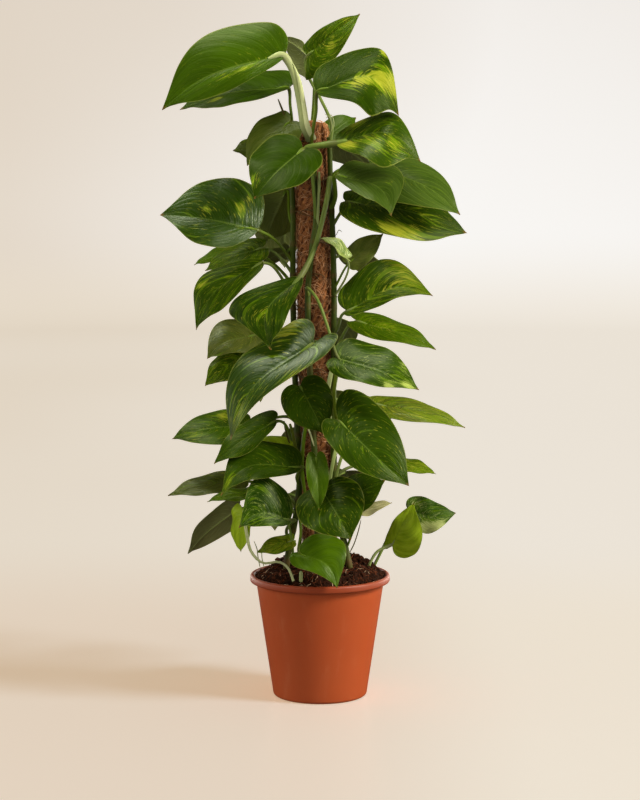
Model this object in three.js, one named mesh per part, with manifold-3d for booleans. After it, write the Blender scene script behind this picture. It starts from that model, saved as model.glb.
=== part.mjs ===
// Potted scindapsus: a climbing aroid on a coir pole, in a terracotta-coloured nursery pot.
// Millimetres, +Z up. The origin is the centre of the pot's base, and the front faces -Y.
import * as THREE from 'three';
import Module from 'manifold-3d';

const wasm = await Module();
wasm.setup();

// Driving dimensions of the pot
const RIM_R = 95; // outside of the lip, a 19 cm pot
const POT_H = 167;
const BODY_TOP_R = 86; // outside of the wall just under the lip
const BODY_TOP_Z = 152;
const BODY_FOOT_R = 64.2; // outside of the wall where the base corner starts
const CORNER = 5;
const WALL = 1.8;
const FLOOR = 2.5;
const DRAIN_R = 5; // the drain holes
const DRAIN_RING = 40;
const DRAIN_COUNT = 8;
const POT_SIDES = 30;

// Driving dimensions of the pole, the soil and the stems
const GAP = 0.3; // clearance between neighbours
const POLE_R = 24.5;
const POLE_TOP = 780;
const POLE_FOOT = 70; // the coir ends here, deep in the soil
const POLE_LEAN = -12; // sideways reach of the pole's top from the pot's axis
const STAKE_R = 11;
const STAKE_FOOT = 22;
const STAKE_TOP = 762;
const SOIL_EDGE = 164; // height of the soil where it meets the pot
const SOIL_TOP = 181;
const STEM_R = 4.4;
const STEM_TIP_R = 3.6;
const BLADE = 0.8; // thickness of a leaf blade

// The photograph's camera, as worked out from the pot's ellipses: it gives each leaf its place.
const EYE = new THREE.Vector3(0, -3342, 826);
const PITCH = THREE.MathUtils.degToRad(7.18);
const FOCAL = 2497; // in picture points
const AHEAD = new THREE.Vector3(0, Math.cos(PITCH), -Math.sin(PITCH));
const ABOVE = new THREE.Vector3(0, Math.sin(PITCH), Math.cos(PITCH));

// A point seen at (px, py) in the 640 x 800 photograph, lying at the given y.
function seen([px, py, y]) {
  const ray = AHEAD.clone().addScaledVector(ABOVE, (400 - py) / FOCAL);
  ray.x += (px - 320) / FOCAL;
  return EYE.clone().addScaledVector(ray, (y - EYE.y) / ray.y);
}

// A closed solid from corner points and triangles.
function solid(points, faces) {
  const vertProperties = new Float32Array(points.flatMap((p) => [p.x, p.y, p.z]));
  return new wasm.Manifold(
    new wasm.Mesh({ numProp: 3, vertProperties, triVerts: new Uint32Array(faces.flat()) }),
  );
}

function geometryOf(body) {
  const mesh = body.getMesh();
  const geometry = new THREE.BufferGeometry();
  geometry.setAttribute('position', new THREE.BufferAttribute(mesh.vertProperties, 3));
  geometry.setIndex(new THREE.BufferAttribute(mesh.triVerts, 1));
  geometry.computeVertexNormals();
  return geometry;
}

// A solid of revolution: profile points are [radius, height], and its two ends lie on the axis.
function turned(profile, sides, shift = () => new THREE.Vector3()) {
  const points = [];
  const faces = [];
  const rings = profile.map(([r, z], k) => {
    const start = points.length;
    const count = r < 1e-6 ? 1 : sides;
    for (let i = 0; i < count; i += 1) {
      const a = (2 * Math.PI * i) / sides;
      const move = shift(a, r, z, k);
      points.push(new THREE.Vector3(r * Math.cos(a), r * Math.sin(a), z).add(move));
    }
    return { start, count };
  });
  for (let k = 0; k + 1 < rings.length; k += 1) {
    for (let i = 0; i < sides; i += 1) {
      const at = (ring, j) => ring.start + (ring.count === 1 ? 0 : j % sides);
      const [a, b] = [at(rings[k], i), at(rings[k], i + 1)];
      const [c, d] = [at(rings[k + 1], i), at(rings[k + 1], i + 1)];
      if (a !== b) faces.push([a, b, d]);
      if (c !== d) faces.push([a, d, c]);
    }
  }
  return solid(points, faces);
}

// A tapered round bar along a smooth line through the given points.
function bar(line, radii, sides, steps, flat = 1) {
  const curve = new THREE.CatmullRomCurve3(line, false, 'centripetal');
  const points = [];
  const faces = [];
  let side = null;
  for (let k = 0; k <= steps; k += 1) {
    const u = k / steps;
    const centre = curve.getPoint(u);
    const along = curve.getTangent(u);
    if (!side) side = new THREE.Vector3(1, 0.21, 0.13);
    side = side.clone().addScaledVector(along, -side.dot(along)).normalize();
    const up = along.clone().cross(side);
    const f = u * (radii.length - 1);
    const j = Math.min(Math.floor(f), radii.length - 2);
    const r = radii[j] + (radii[j + 1] - radii[j]) * (f - j);
    for (let i = 0; i < sides; i += 1) {
      const a = (2 * Math.PI * i) / sides;
      points.push(
        centre.clone().addScaledVector(side, r * Math.cos(a)).addScaledVector(up, flat * r * Math.sin(a)),
      );
    }
  }
  for (let k = 0; k < steps; k += 1) {
    for (let i = 0; i < sides; i += 1) {
      const [a, b] = [k * sides + i, k * sides + ((i + 1) % sides)];
      faces.push([a, b, b + sides], [a, b + sides, a + sides]);
    }
  }
  const last = steps * sides;
  for (let i = 1; i + 1 < sides; i += 1) {
    faces.push([0, i + 1, i], [last, last + i, last + i + 1]);
  }
  return solid(points, faces);
}

// The pot: a thin wall with a rolled lip, a flat foot ring and a flat pad in the middle of the
// base, and a raised channel between them that holds the drain holes.
const wallR = (z) => BODY_FOOT_R + ((BODY_TOP_R - BODY_FOOT_R) * (z - CORNER)) / (BODY_TOP_Z - CORNER);
const potOutside = [
  [0, 0], [27, 0], [30, FLOOR], [49, FLOOR], [52, 0],
  [BODY_FOOT_R - 4.6, 0], [BODY_FOOT_R - 1.6, 1.4], [BODY_FOOT_R, CORNER],
  [BODY_TOP_R, BODY_TOP_Z], [BODY_TOP_R + 2.6, 155.2], [RIM_R - 1.6, 157],
  [RIM_R, 159.4], [RIM_R, 164], [RIM_R - 1.6, POT_H - 0.6], [RIM_R - 3.2, POT_H],
];
const potInside = [
  [RIM_R - 5.2, POT_H - 0.4], [RIM_R - 6.6, POT_H - 2.4], [wallR(156) - WALL, 156],
  [wallR(CORNER + 3) - WALL, CORNER + 3], [BODY_FOOT_R - 5, 2 * FLOOR],
  [28, 2 * FLOOR], [25, FLOOR], [0, FLOOR],
];
let pot = turned([...potOutside, ...potInside], POT_SIDES);
for (let i = 0; i < DRAIN_COUNT; i += 1) {
  const a = (2 * Math.PI * (i + 0.5)) / DRAIN_COUNT;
  const [x, y] = [DRAIN_RING * Math.cos(a), DRAIN_RING * Math.sin(a)];
  const through = [new THREE.Vector3(x, y, -3), new THREE.Vector3(x, y, 3), new THREE.Vector3(x, y, 9)];
  pot = pot.subtract(bar(through, [DRAIN_R, DRAIN_R], 8, 1));
}

// The pole leans a little to the left as it rises.
const poleX = (z) => (POLE_LEAN * (z - POT_H)) / (POLE_TOP - POT_H);
const poleSpot = (z, degrees, out) => {
  const a = THREE.MathUtils.degToRad(degrees);
  return new THREE.Vector3(poleX(z) + out * Math.cos(a), out * Math.sin(a), z);
};
const lean = (a, r, z) => new THREE.Vector3(poleX(z), 0, 0);

// The wooden stake in the middle of the pole, pointed at its foot.
const stakeProfile = (more) => [
  [0, STAKE_FOOT - more], [STAKE_R + more, STAKE_FOOT + 34], [STAKE_R + more, STAKE_TOP + more],
  [0, STAKE_TOP + more],
];
const stake = turned(stakeProfile(0), 12, lean);
const stakeRoom = turned(stakeProfile(GAP), 12, lean);

// The coir wound round the stake: a shaggy sleeve with a domed top, uneven as fibre is.
const COIR_ROWS = 14;
const coirProfile = [[0, POLE_FOOT], [POLE_R - 2.5, POLE_FOOT], [POLE_R, POLE_FOOT + 5]];
for (let i = 1; i < COIR_ROWS; i += 1) {
  coirProfile.push([POLE_R, POLE_FOOT + 5 + ((POLE_TOP - 17 - POLE_FOOT) * i) / COIR_ROWS]);
}
coirProfile.push([POLE_R - 1, POLE_TOP - 9], [POLE_R - 6, POLE_TOP - 2.5]);
coirProfile.push([POLE_R - 14, POLE_TOP], [0, POLE_TOP + 1]);
const tousle = (a, z) => 0.7 * Math.sin(3 * a + z / 23) + 0.6 * Math.sin(5 * a - z / 11 + 1);
const coirShift = (a, r, z) => {
  const d = r > 5 && z > SOIL_EDGE ? -0.9 + tousle(a, z) * 0.6 : 0;
  return new THREE.Vector3(poleX(z) + d * Math.cos(a), d * Math.sin(a), 0);
};
const coirBody = turned(coirProfile, 16, coirShift);
const coir = coirBody.subtract(stakeRoom);

// The climbing stems. Each row is [height, bearing round the pole in degrees, distance from the
// pole's axis]; bearing 270 is the front. They rise from the soil and then hug the coir.
const HUG = POLE_R + STEM_R + 0.35;
const STEMS = {
  stem_front: [
    [92, 262, 52], [150, 262, 50], [200, 265, 44], [250, 268, 35], [300, 266, HUG], [360, 260, HUG],
    [430, 255, HUG], [500, 252, HUG], [560, 254, HUG], [610, 266, HUG], [650, 278, HUG],
    [700, 276, HUG], [750, 268, HUG], [772, 262, HUG + 1],
  ],
  stem_left: [
    [96, 196, 50], [150, 196, 50], [200, 198, 44], [250, 205, 34], [300, 212, HUG], [360, 205, HUG],
    [430, 196, HUG], [500, 190, HUG], [560, 192, HUG], [610, 200, HUG], [660, 205, HUG],
    [700, 200, HUG], [738, 196, HUG + 1],
  ],
  stem_right: [
    [94, 332, 54], [150, 330, 52], [200, 326, 44], [250, 322, 34], [300, 320, HUG], [360, 318, HUG],
    [430, 322, HUG], [500, 330, HUG], [560, 334, HUG], [610, 334, HUG], [660, 330, HUG],
    [710, 326, HUG], [758, 322, HUG + 1],
  ],
  stem_back: [
    [96, 84, 52], [150, 84, 52], [200, 86, 44], [250, 90, 34], [300, 96, HUG], [360, 102, HUG],
    [430, 96, HUG], [500, 88, HUG], [560, 84, HUG], [610, 90, HUG], [660, 98, HUG],
    [710, 96, HUG], [764, 88, HUG + 1],
  ],
};
const stemLine = (name) => STEMS[name].map(([z, bearing, out]) => poleSpot(z, bearing, out));
const stemBar = (name, more) => {
  const line = stemLine(name);
  const radii = [STEM_R + 0.4, STEM_R, STEM_R - 0.3, STEM_TIP_R].map((r) => r + more);
  return bar(line, radii, 6, line.length * 2);
};
const stems = {};
const stemRoom = {};
for (const name of Object.keys(STEMS)) {
  stems[name] = stemBar(name, 0);
  stemRoom[name] = stemBar(name, GAP + 0.05);
}

// The middle of a stem at a given height.
function stemSpot(name, z) {
  const line = stemLine(name);
  const curve = new THREE.CatmullRomCurve3(line, false, 'centripetal');
  let [low, high] = [0, 1];
  for (let i = 0; i < 30; i += 1) {
    const mid = (low + high) / 2;
    if (curve.getPoint(mid).z < z) low = mid;
    else high = mid;
  }
  return curve.getPoint(low);
}

// The edge of a heart-shaped leaf: [share of its length, share of its half width], from the
// notch where the stalk joins, round the lobe, to the drawn-out tip.
const EDGE = [
  [0, 0], [-0.08, 0.2], [-0.1, 0.46], [-0.045, 0.74], [0.08, 0.93], [0.25, 1.0], [0.43, 0.96],
  [0.6, 0.81], [0.75, 0.57], [0.87, 0.29], [0.94, 0.12], [1, 0],
];
const edgeSpots = EDGE.map(([s, w]) => new THREE.Vector3(s, w, 0));
const edgeCurve = new THREE.CatmullRomCurve3(edgeSpots, false, 'centripetal');

// The habit of a leaf, unless its own line in the table says otherwise. Shares are of the
// length, or of the half width for fold and cup. wedge slants away the lobe on each side.
const HABIT = {
  arch: 0.07, fold: 0.2, cup: 0.26, wave: 2.2, phase: 0, twist: 0, sweep: 0, lobe: 1,
  lop: 0, wedge: [0, 0], stalk: 2.3, rows: 6, lift: 0.32, reach: 0.3,
};

// Where a spot of the blade lies, from its shares of the length and of the half width.
function bladeSpot(leaf, share, w) {
  const a = Math.abs(w);
  const s = share + leaf.wedge[w > 0 ? 0 : 1] * a * (1 - share);
  const v = Math.min(Math.max(s, 0), 1);
  const half = (leaf.width / 2) * (1 + leaf.lop * Math.sign(w));
  const bow = Math.sin(Math.PI * v ** 1.25);
  let across = w * half + leaf.sweep * leaf.length * bow;
  let rise = leaf.arch * leaf.length * (s < 0 ? 2 * s : bow);
  rise += leaf.fold * a * half - leaf.cup * a * a * half;
  rise += leaf.wave * a * a * Math.sin(2 * Math.PI * 1.6 * s + leaf.phase + (w > 0 ? 0 : 2.1));
  const turn = THREE.MathUtils.degToRad(leaf.twist) * v;
  [across, rise] = [
    across * Math.cos(turn) - rise * Math.sin(turn), across * Math.sin(turn) + rise * Math.cos(turn),
  ];
  return leaf.kneeSpot.clone()
    .addScaledVector(leaf.along, s * leaf.length)
    .addScaledVector(leaf.side, across)
    .addScaledVector(leaf.top, rise);
}

// The blade as a thin closed sheet, split alike on both faces.
function bladeSolid(leaf) {
  const SPREAD = [-1, -0.52, 0, 0.52, 1];
  const rows = leaf.rows;
  const spots = [];
  const cellOf = (u, t) => {
    const rim = edgeCurve.getPoint(u);
    const s0 = u ** 1.35;
    const a = Math.abs(t);
    const s = s0 + (rim.x * (rim.x < 0 ? leaf.lobe : 1) - s0) * a;
    return [s, rim.y * t];
  };
  const index = [];
  for (let k = 0; k <= rows; k += 1) {
    const u = k / rows;
    const row = [];
    const cells = k === 0 || k === rows ? [0] : SPREAD;
    for (const t of cells) {
      const [s, w] = cellOf(u, t);
      const e = 0.01;
      const here = bladeSpot(leaf, s, w);
      const ds = bladeSpot(leaf, s + e, w).sub(bladeSpot(leaf, s - e, w));
      const dw = bladeSpot(leaf, s, w + e).sub(bladeSpot(leaf, s, w - e));
      const normal = ds.cross(dw).normalize();
      row.push(spots.length);
      spots.push([here, normal]);
    }
    index.push(row.length === 1 ? SPREAD.map(() => row[0]) : row);
  }
  const count = spots.length;
  const points = [
    ...spots.map(([p, n]) => p.clone().addScaledVector(n, BLADE / 2)),
    ...spots.map(([p, n]) => p.clone().addScaledVector(n, -BLADE / 2)),
  ];
  const faces = [];
  const add = (a, b, c) => {
    if (a === b || b === c || a === c) return;
    faces.push([a, b, c], [a + count, c + count, b + count]);
  };
  for (let k = 0; k < rows; k += 1) {
    for (let j = 0; j + 1 < SPREAD.length; j += 1) {
      const [a, b] = [index[k][j], index[k][j + 1]];
      const [c, d] = [index[k + 1][j], index[k + 1][j + 1]];
      if (j < 2) {
        add(a, c, d);
        add(a, d, b);
      } else {
        add(a, c, b);
        add(b, c, d);
      }
    }
    const wall = (a, b) => faces.push([a, b, b + count], [a, b + count, a + count]);
    const last = SPREAD.length - 1;
    wall(index[k + 1][0], index[k][0]);
    wall(index[k][last], index[k + 1][last]);
  }
  // The sheet's first row fans out from the notch, so its two lobes stay apart there.
  return solid(points, faces);
}

// The stalk, from the stem to the notch and on under the midrib.
function stalkSolid(leaf, more = 0) {
  const under = (s) => {
    const spot = bladeSpot(leaf, s, 0);
    return spot.addScaledVector(leaf.top, -leaf.stalk * 0.35);
  };
  const knee = under(0.02);
  const gap = leaf.rootSpot.distanceTo(knee);
  let line;
  if (leaf.via) {
    line = [leaf.rootSpot, ...leaf.via.map(seen), knee];
  } else {
    const start = leaf.rootSpot.clone();
    const rise = new THREE.Vector3(0, 0, gap * leaf.lift).add(leaf.out.clone().multiplyScalar(gap * 0.22));
    const back = leaf.along.clone().multiplyScalar(-gap * leaf.reach);
    back.addScaledVector(leaf.top, -gap * 0.12);
    if (back.z > 0.1 * gap) back.z *= 0.3;
    const curve = new THREE.CubicBezierCurve3(start, start.clone().add(rise), knee.clone().add(back), knee);
    line = [0, 0.2, 0.45, 0.7, 0.88, 1].map((u) => curve.getPoint(u));
  }
  const r = leaf.stalk;
  const steps = leaf.via ? 7 : 5;
  const radii = [1.25, 1.1, 1, 0.95, 0.9, 0.6].map((share) => r * share + more);
  return bar([...line, under(0.13)], radii, 4, steps);
}

// The leaves, from the top down. knee and tip are where the blade starts and ends: the spot in
// the photograph and the depth (y) behind the pot's axis. width is the blade's real width, face
// the way its upper side looks, and z the height at which its stalk leaves the stem. sweep bows
// the midrib sideways and lop makes one half wider: for both, plus is the half on the leaf's
// left as its upper side is seen with the tip pointing away.
const LEAVES = [
  // the crown
  { name: 'leaf_crown_left', stem: 'stem_front', z: 756, knee: [285, 54, -50], tip: [162, 110, -62],
    width: 86, face: [0.12, -0.92, 0.38], stalk: 3.4, arch: 0.06, sweep: -0.07, lop: -0.34, lobe: 0.7,
    wedge: [0.4, 0], via: [[304, 127, -44], [300, 103, -44], [293, 72, -48]], rows: 9 },
  { name: 'leaf_crown_left_under', stem: 'stem_left', z: 724, knee: [290, 87, -8], tip: [180, 110, -28],
    width: 76, face: [0.1, -0.55, 0.82], lop: -0.3, wedge: [0.45, 0],
    via: [[292, 125, -12], [290, 105, -10]] },
  { name: 'leaf_crown_back', stem: 'stem_back', z: 750, knee: [311, 58, 22], tip: [279, 37, 62],
    width: 50, face: [0, 0.8, 0.5], lop: -0.5 },
  { name: 'leaf_crown_top', stem: 'stem_right', z: 748, knee: [308, 55, -6], tip: [360, 14, -20],
    width: 46, face: [-0.15, -0.95, 0.25], fold: 0.22, cup: 0.2, sweep: 0, lobe: 0.2, lop: -0.3,
    wedge: [0, -0.3] },
  { name: 'leaf_crown_right', stem: 'stem_front', z: 742, knee: [316, 91, -56], tip: [399, 116, -74],
    width: 104, face: [0, -0.85, 0.55], arch: 0.2, sweep: 0.26, lop: 0.05, lobe: 0.7,
    wedge: [-0.05, 0.55], via: [[312, 136, -42], [316, 112, -48]] },
  // the shoulder, left
  { name: 'leaf_shoulder_left_olive', stem: 'stem_left', z: 704, knee: [290, 122, -28],
    tip: [247, 166, -36], width: 62, face: [-0.3, -0.8, 0.5], sweep: -0.06,
    via: [[291, 152, -22], [291, 136, -26]] },
  { name: 'leaf_shoulder_left_back', stem: 'stem_left', z: 690, knee: [275, 148, 14],
    tip: [233, 151, 4], width: 60, face: [-0.2, -0.6, 0.75], sweep: 0.06 },
  { name: 'leaf_shoulder_front', stem: 'stem_front', z: 708, knee: [303, 149, -78],
    tip: [254, 199, -126], width: 88, face: [-0.05, -0.75, 0.65], lop: -0.12 },
  // the shoulder, right
  { name: 'leaf_shoulder_right_back', stem: 'stem_back', z: 728, knee: [327, 137, 36],
    tip: [356, 118, 52], width: 50, face: [0.2, -0.5, 0.8] },
  { name: 'leaf_shoulder_right_upper', stem: 'stem_front', z: 722, knee: [336, 143, -60],
    tip: [421, 162, -86], width: 92, face: [0.05, -0.75, 0.68], stalk: 2.8, arch: 0.24, sweep: 0.1,
    lop: -0.15, lobe: 0.6, wedge: [0.1, 0.5], via: [[306, 150, -44], [318, 146, -56]] },
  { name: 'leaf_shoulder_right_middle', stem: 'stem_right', z: 664, knee: [338, 175, -66],
    tip: [391, 216, -112], width: 80, face: [0.15, -0.66, 0.74], sweep: 0.2, lop: 0.35,
    wedge: [0, 0.35] },
  { name: 'leaf_shoulder_right_far', stem: 'stem_right', z: 704, knee: [372, 167, -14],
    tip: [460, 215, -48], width: 88, face: [0.15, -0.72, 0.68], sweep: 0.05, lop: -0.08 },
  { name: 'leaf_shoulder_right_low', stem: 'stem_right', z: 640, knee: [345, 201, -2],
    tip: [467, 233, -10], width: 98, face: [0.1, -0.34, 0.93], twist: 48, lop: -0.1, lobe: 0.3,
    reach: 0.05 },
  // the middle, left
  { name: 'leaf_middle_left_big', stem: 'stem_left', z: 590, knee: [258, 230, -64],
    tip: [160, 215, -80], width: 104, face: [-0.05, -0.88, 0.46], lop: -0.28, lobe: 0.4,
    wedge: [0.3, 0], rows: 9 },
  { name: 'leaf_middle_left_olive', stem: 'stem_left', z: 640, knee: [286, 190, 14], tip: [266, 242, 0],
    width: 82, face: [-0.2, 0.8, 0.5] },
  { name: 'leaf_middle_left_back', stem: 'stem_left', z: 560, knee: [250, 252, 8], tip: [194, 265, 4],
    width: 50, face: [-0.1, -0.4, 0.92] },
  { name: 'leaf_middle_left_small', stem: 'stem_left', z: 605, knee: [288, 250, 18],
    tip: [262, 264, 16], width: 36, face: [-0.1, 0.6, 0.8], reach: 0, rows: 5 },
  { name: 'leaf_middle_left_inner', stem: 'stem_left', z: 575, knee: [262, 248, -22],
    tip: [205, 271, -18], width: 48, face: [-0.1, -0.65, 0.75] },
  { name: 'leaf_middle_left_outer', stem: 'stem_left', z: 545, knee: [262, 262, -52],
    tip: [196, 330, -66], width: 58, face: [-0.3, -0.82, 0.45], sweep: -0.12, lop: -0.1,
    wedge: [0.4, 0.35] },
  { name: 'leaf_middle_left_hanging', stem: 'stem_right', z: 704, knee: [300, 277, -82],
    tip: [271, 350, -106], width: 80, face: [-0.12, -0.88, 0.45], sweep: -0.22, lop: -0.3,
    wedge: [0.45, 0.6], stalk: 3.2, via: [[328, 194, -40], [322, 222, -44], [314, 250, -54]] },
  { name: 'leaf_middle_left_dark', stem: 'stem_left', z: 480, knee: [255, 335, -22],
    tip: [207, 359, -42], width: 62, face: [-0.1, -0.75, 0.65], sweep: -0.1, lop: -0.2 },
  { name: 'leaf_middle_left_low', stem: 'stem_left', z: 450, knee: [247, 352, -18],
    tip: [205, 386, -36], width: 50, face: [-0.2, -0.75, 0.6] },
  { name: 'leaf_middle_big', stem: 'stem_front', z: 470, knee: [313, 343, -98], tip: [231, 440, -128],
    width: 80, face: [-0.25, -0.75, 0.6], stalk: 3, arch: 0.09, sweep: -0.1, lop: -0.32, lobe: 0.9,
    rows: 9, wedge: [-0.15, -0.08] },
  // the middle, right
  { name: 'leaf_middle_right_young', stem: 'stem_right', z: 545, knee: [347, 258, -46],
    tip: [320, 238, -62], width: 24, face: [0.3, -0.6, 0.7], stalk: 1.6, fold: 0.7, rows: 5 },
  { name: 'leaf_middle_right_small', stem: 'stem_right', z: 556, knee: [350, 262, -30],
    tip: [383, 234, -22], width: 34, face: [0.5, -0.6, 0.6], stalk: 1.7, fold: 0.3, rows: 5 },
  { name: 'leaf_middle_right_round', stem: 'stem_right', z: 494, knee: [347, 311, -66],
    tip: [433, 296, -92], width: 70, face: [0.05, -0.82, 0.56], arch: 0.08, sweep: 0.14, lop: 0.5,
    wedge: [0, 0.2] },
  { name: 'leaf_middle_right_lime', stem: 'stem_right', z: 468, knee: [357, 321, -30],
    tip: [436, 350, -44], width: 44, face: [0.1, -0.65, 0.75] },
  { name: 'leaf_middle_right_striped', stem: 'stem_front', z: 548, knee: [337, 358, -76],
    tip: [419, 390, -112], width: 66, face: [0.1, -0.8, 0.58], lop: 0.2, lobe: 0.8,
    via: [[307, 288, -48], [317, 299, -62], [328, 328, -72]] },
  // the lower left
  { name: 'leaf_lower_left_far', stem: 'stem_left', z: 375, knee: [245, 425, -26], tip: [172, 439, -42],
    width: 62, face: [-0.1, -0.68, 0.72] },
  { name: 'leaf_lower_left_narrow', stem: 'stem_left', z: 335, knee: [275, 421, -60],
    tip: [214, 464, -88], width: 44, face: [-0.2, -0.75, 0.6], sweep: 0, lop: -0.1,
    wedge: [0.35, 0] },
  { name: 'leaf_lower_left_big', stem: 'stem_left', z: 290, knee: [300, 467, -80],
    tip: [221, 496, -110], width: 64, face: [-0.05, -0.8, 0.58], sweep: -0.2, lop: -0.35, lobe: 0.8,
    wedge: [0.3, 0] },
  { name: 'leaf_lower_left_lime', stem: 'stem_left', z: 325, knee: [292, 448, -44],
    tip: [255, 440, -36], width: 28, face: [0, -0.6, 0.8], rows: 5 },
  { name: 'leaf_lower_left_long', stem: 'stem_left', z: 262, knee: [240, 480, -18],
    tip: [168, 496, -34], width: 40, face: [-0.1, -0.65, 0.76] },
  { name: 'leaf_lower_left_thin', stem: 'stem_left', z: 250, knee: [258, 492, -52],
    tip: [207, 502, -60], width: 28, face: [-0.1, -0.5, 0.85], rows: 5 },
  { name: 'leaf_lower_left_drooping', stem: 'stem_left', z: 232, knee: [238, 508, -20],
    tip: [188, 554, -34], width: 52, face: [-0.5, 0.8, 0.35] },
  { name: 'leaf_lower_left_flecked', stem: 'stem_left', z: 212, knee: [290, 520, -97],
    tip: [239, 528, -116], width: 72, face: [-0.02, -0.92, 0.38], sweep: -0.2, lop: -0.5,
    wedge: [0.35, 0] },
  { name: 'leaf_lower_left_hanging', root: [297, 606, -66], knee: [243, 510, -52], tip: [241, 552, -38],
    width: 44, face: [-0.65, -0.6, 0.2], stalk: 2.8,
    via: [
      [295, 588, -68], [288, 568, -68], [279, 562, -68], [263, 563, -68], [251, 552, -70], [246, 532, -68],
    ] },
  { name: 'leaf_foot_left_striped', stem: 'stem_left', z: 200, knee: [292, 541, -60],
    tip: [257, 553, -56], width: 32, face: [0, -0.6, 0.8], stalk: 1.8, rows: 5 },
  // the lower middle and right
  { name: 'leaf_heart_dark', stem: 'stem_front', z: 415, knee: [300, 386, -62], tip: [325, 434, -82],
    width: 68, face: [-0.1, -0.9, 0.4] },
  { name: 'leaf_heart_big', stem: 'stem_right', z: 338, knee: [338, 420, -92], tip: [409, 486, -122],
    width: 90, face: [0.15, -0.87, 0.45], sweep: -0.04, lop: 0.25, wedge: [-0.15, 0] },
  { name: 'leaf_lower_right_pointed', stem: 'stem_right', z: 395, knee: [375, 404, -30],
    tip: [465, 428, -48], width: 40, face: [0.1, -0.65, 0.75] },
  { name: 'leaf_lower_right_narrow', stem: 'stem_right', z: 300, knee: [385, 462, -30],
    tip: [436, 474, -42], width: 32, face: [0.1, -0.6, 0.8], rows: 5 },
  { name: 'leaf_lower_right_dark', stem: 'stem_right', z: 252, knee: [345, 500, -60],
    tip: [385, 481, -70], width: 54, face: [0.1, -0.85, 0.5] },
  { name: 'leaf_folded_lime', stem: 'stem_front', z: 305, knee: [316, 457, -96], tip: [319, 510, -120],
    width: 30, face: [0.1, -0.9, 0.4], fold: 0.45 },
  { name: 'leaf_heart_front', stem: 'stem_front', z: 240, knee: [322, 490, -90], tip: [351, 540, -124],
    width: 92, face: [0.05, -0.9, 0.42] },
  { name: 'leaf_foot_front', stem: 'stem_front', z: 262, knee: [299, 553, -92], tip: [337, 588, -106],
    width: 64, face: [0.15, -0.88, 0.42], sweep: 0.18, lop: 0.35,
    via: [[301, 510, -58], [301, 532, -68]] },
  // the shoot at the right of the pot, and a pale new leaf beside it
  { name: 'leaf_shoot_lime', root: [360, 590, -12], knee: [392, 545, -8], tip: [414, 503, -20],
    width: 50, face: [-0.2, -0.9, 0.3], lop: -0.45, lobe: 1.4,
    via: [[366, 573, -12], [377, 552, -10]] },
  { name: 'leaf_shoot_striped', root: [367, 588, 22], knee: [410, 511, 28], tip: [456, 513, 16],
    width: 50, face: [0.1, -0.9, 0.42], sweep: -0.13,
    via: [[372, 571, 22], [380, 554, 24], [394, 528, 28]] },
  { name: 'leaf_new_pale', stem: 'stem_right', z: 205, knee: [361, 512, -38], tip: [392, 503, -34],
    width: 20, face: [0.1, -0.6, 0.8], stalk: 1.6, rows: 5 },
];

// The leaves on the far side, fused to their stem. Each row is [height of the stalk's foot,
// bearing, reach of the knee from the pole's axis, length, width].
const FAR_LEAVES = [
  [716, 64, 74, 118, 80], [664, 126, 80, 124, 86], [618, 112, 84, 132, 92], [566, 48, 80, 112, 76],
  [520, 122, 82, 126, 84], [470, 80, 86, 134, 94], [418, 128, 78, 110, 74], [368, 54, 82, 122, 84],
  [318, 98, 84, 128, 88], [262, 62, 80, 112, 78], [232, 122, 78, 108, 74],
].map(([z, bearing, reach, length, width], i) => {
  const knee = poleSpot(z + 34, bearing, reach);
  const tip = poleSpot(z + 34 - length * 0.62, bearing + (i % 2 ? 9 : -9), reach + length * 0.78);
  const a = THREE.MathUtils.degToRad(bearing);
  return { name: `far_${i}`, stem: 'stem_back', z, kneeSpot: knee, tipSpot: tip, width,
    face: [0.5 * Math.cos(a), 0.5 * Math.sin(a), 0.86], arch: 0.12 };
});

for (const [i, leaf] of [...LEAVES, ...FAR_LEAVES].entries()) {
  Object.assign(leaf, { ...HABIT, phase: i * 1.7, ...leaf });
  leaf.kneeSpot = leaf.kneeSpot ?? seen(leaf.knee);
  leaf.along = (leaf.tipSpot ?? seen(leaf.tip)).clone().sub(leaf.kneeSpot);
  leaf.length = leaf.along.length();
  leaf.along.normalize();
  leaf.top = new THREE.Vector3(...leaf.face);
  leaf.top.addScaledVector(leaf.along, -leaf.top.dot(leaf.along)).normalize();
  leaf.side = leaf.top.clone().cross(leaf.along);
  leaf.rootSpot = leaf.stem ? stemSpot(leaf.stem, leaf.z) : seen(leaf.root);
  leaf.out = leaf.rootSpot.clone().sub(new THREE.Vector3(poleX(leaf.rootSpot.z), 0, leaf.rootSpot.z));
  leaf.out.normalize();
}

const leafSolids = {};
for (const leaf of LEAVES) {
  let body = bladeSolid(leaf).add(stalkSolid(leaf));
  if (leaf.stem) body = body.subtract(stemRoom[leaf.stem]);
  leafSolids[leaf.name] = body;
}
for (const leaf of FAR_LEAVES) {
  stems.stem_back = stems.stem_back.add(bladeSolid(leaf)).add(stalkSolid(leaf));
}

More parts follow.
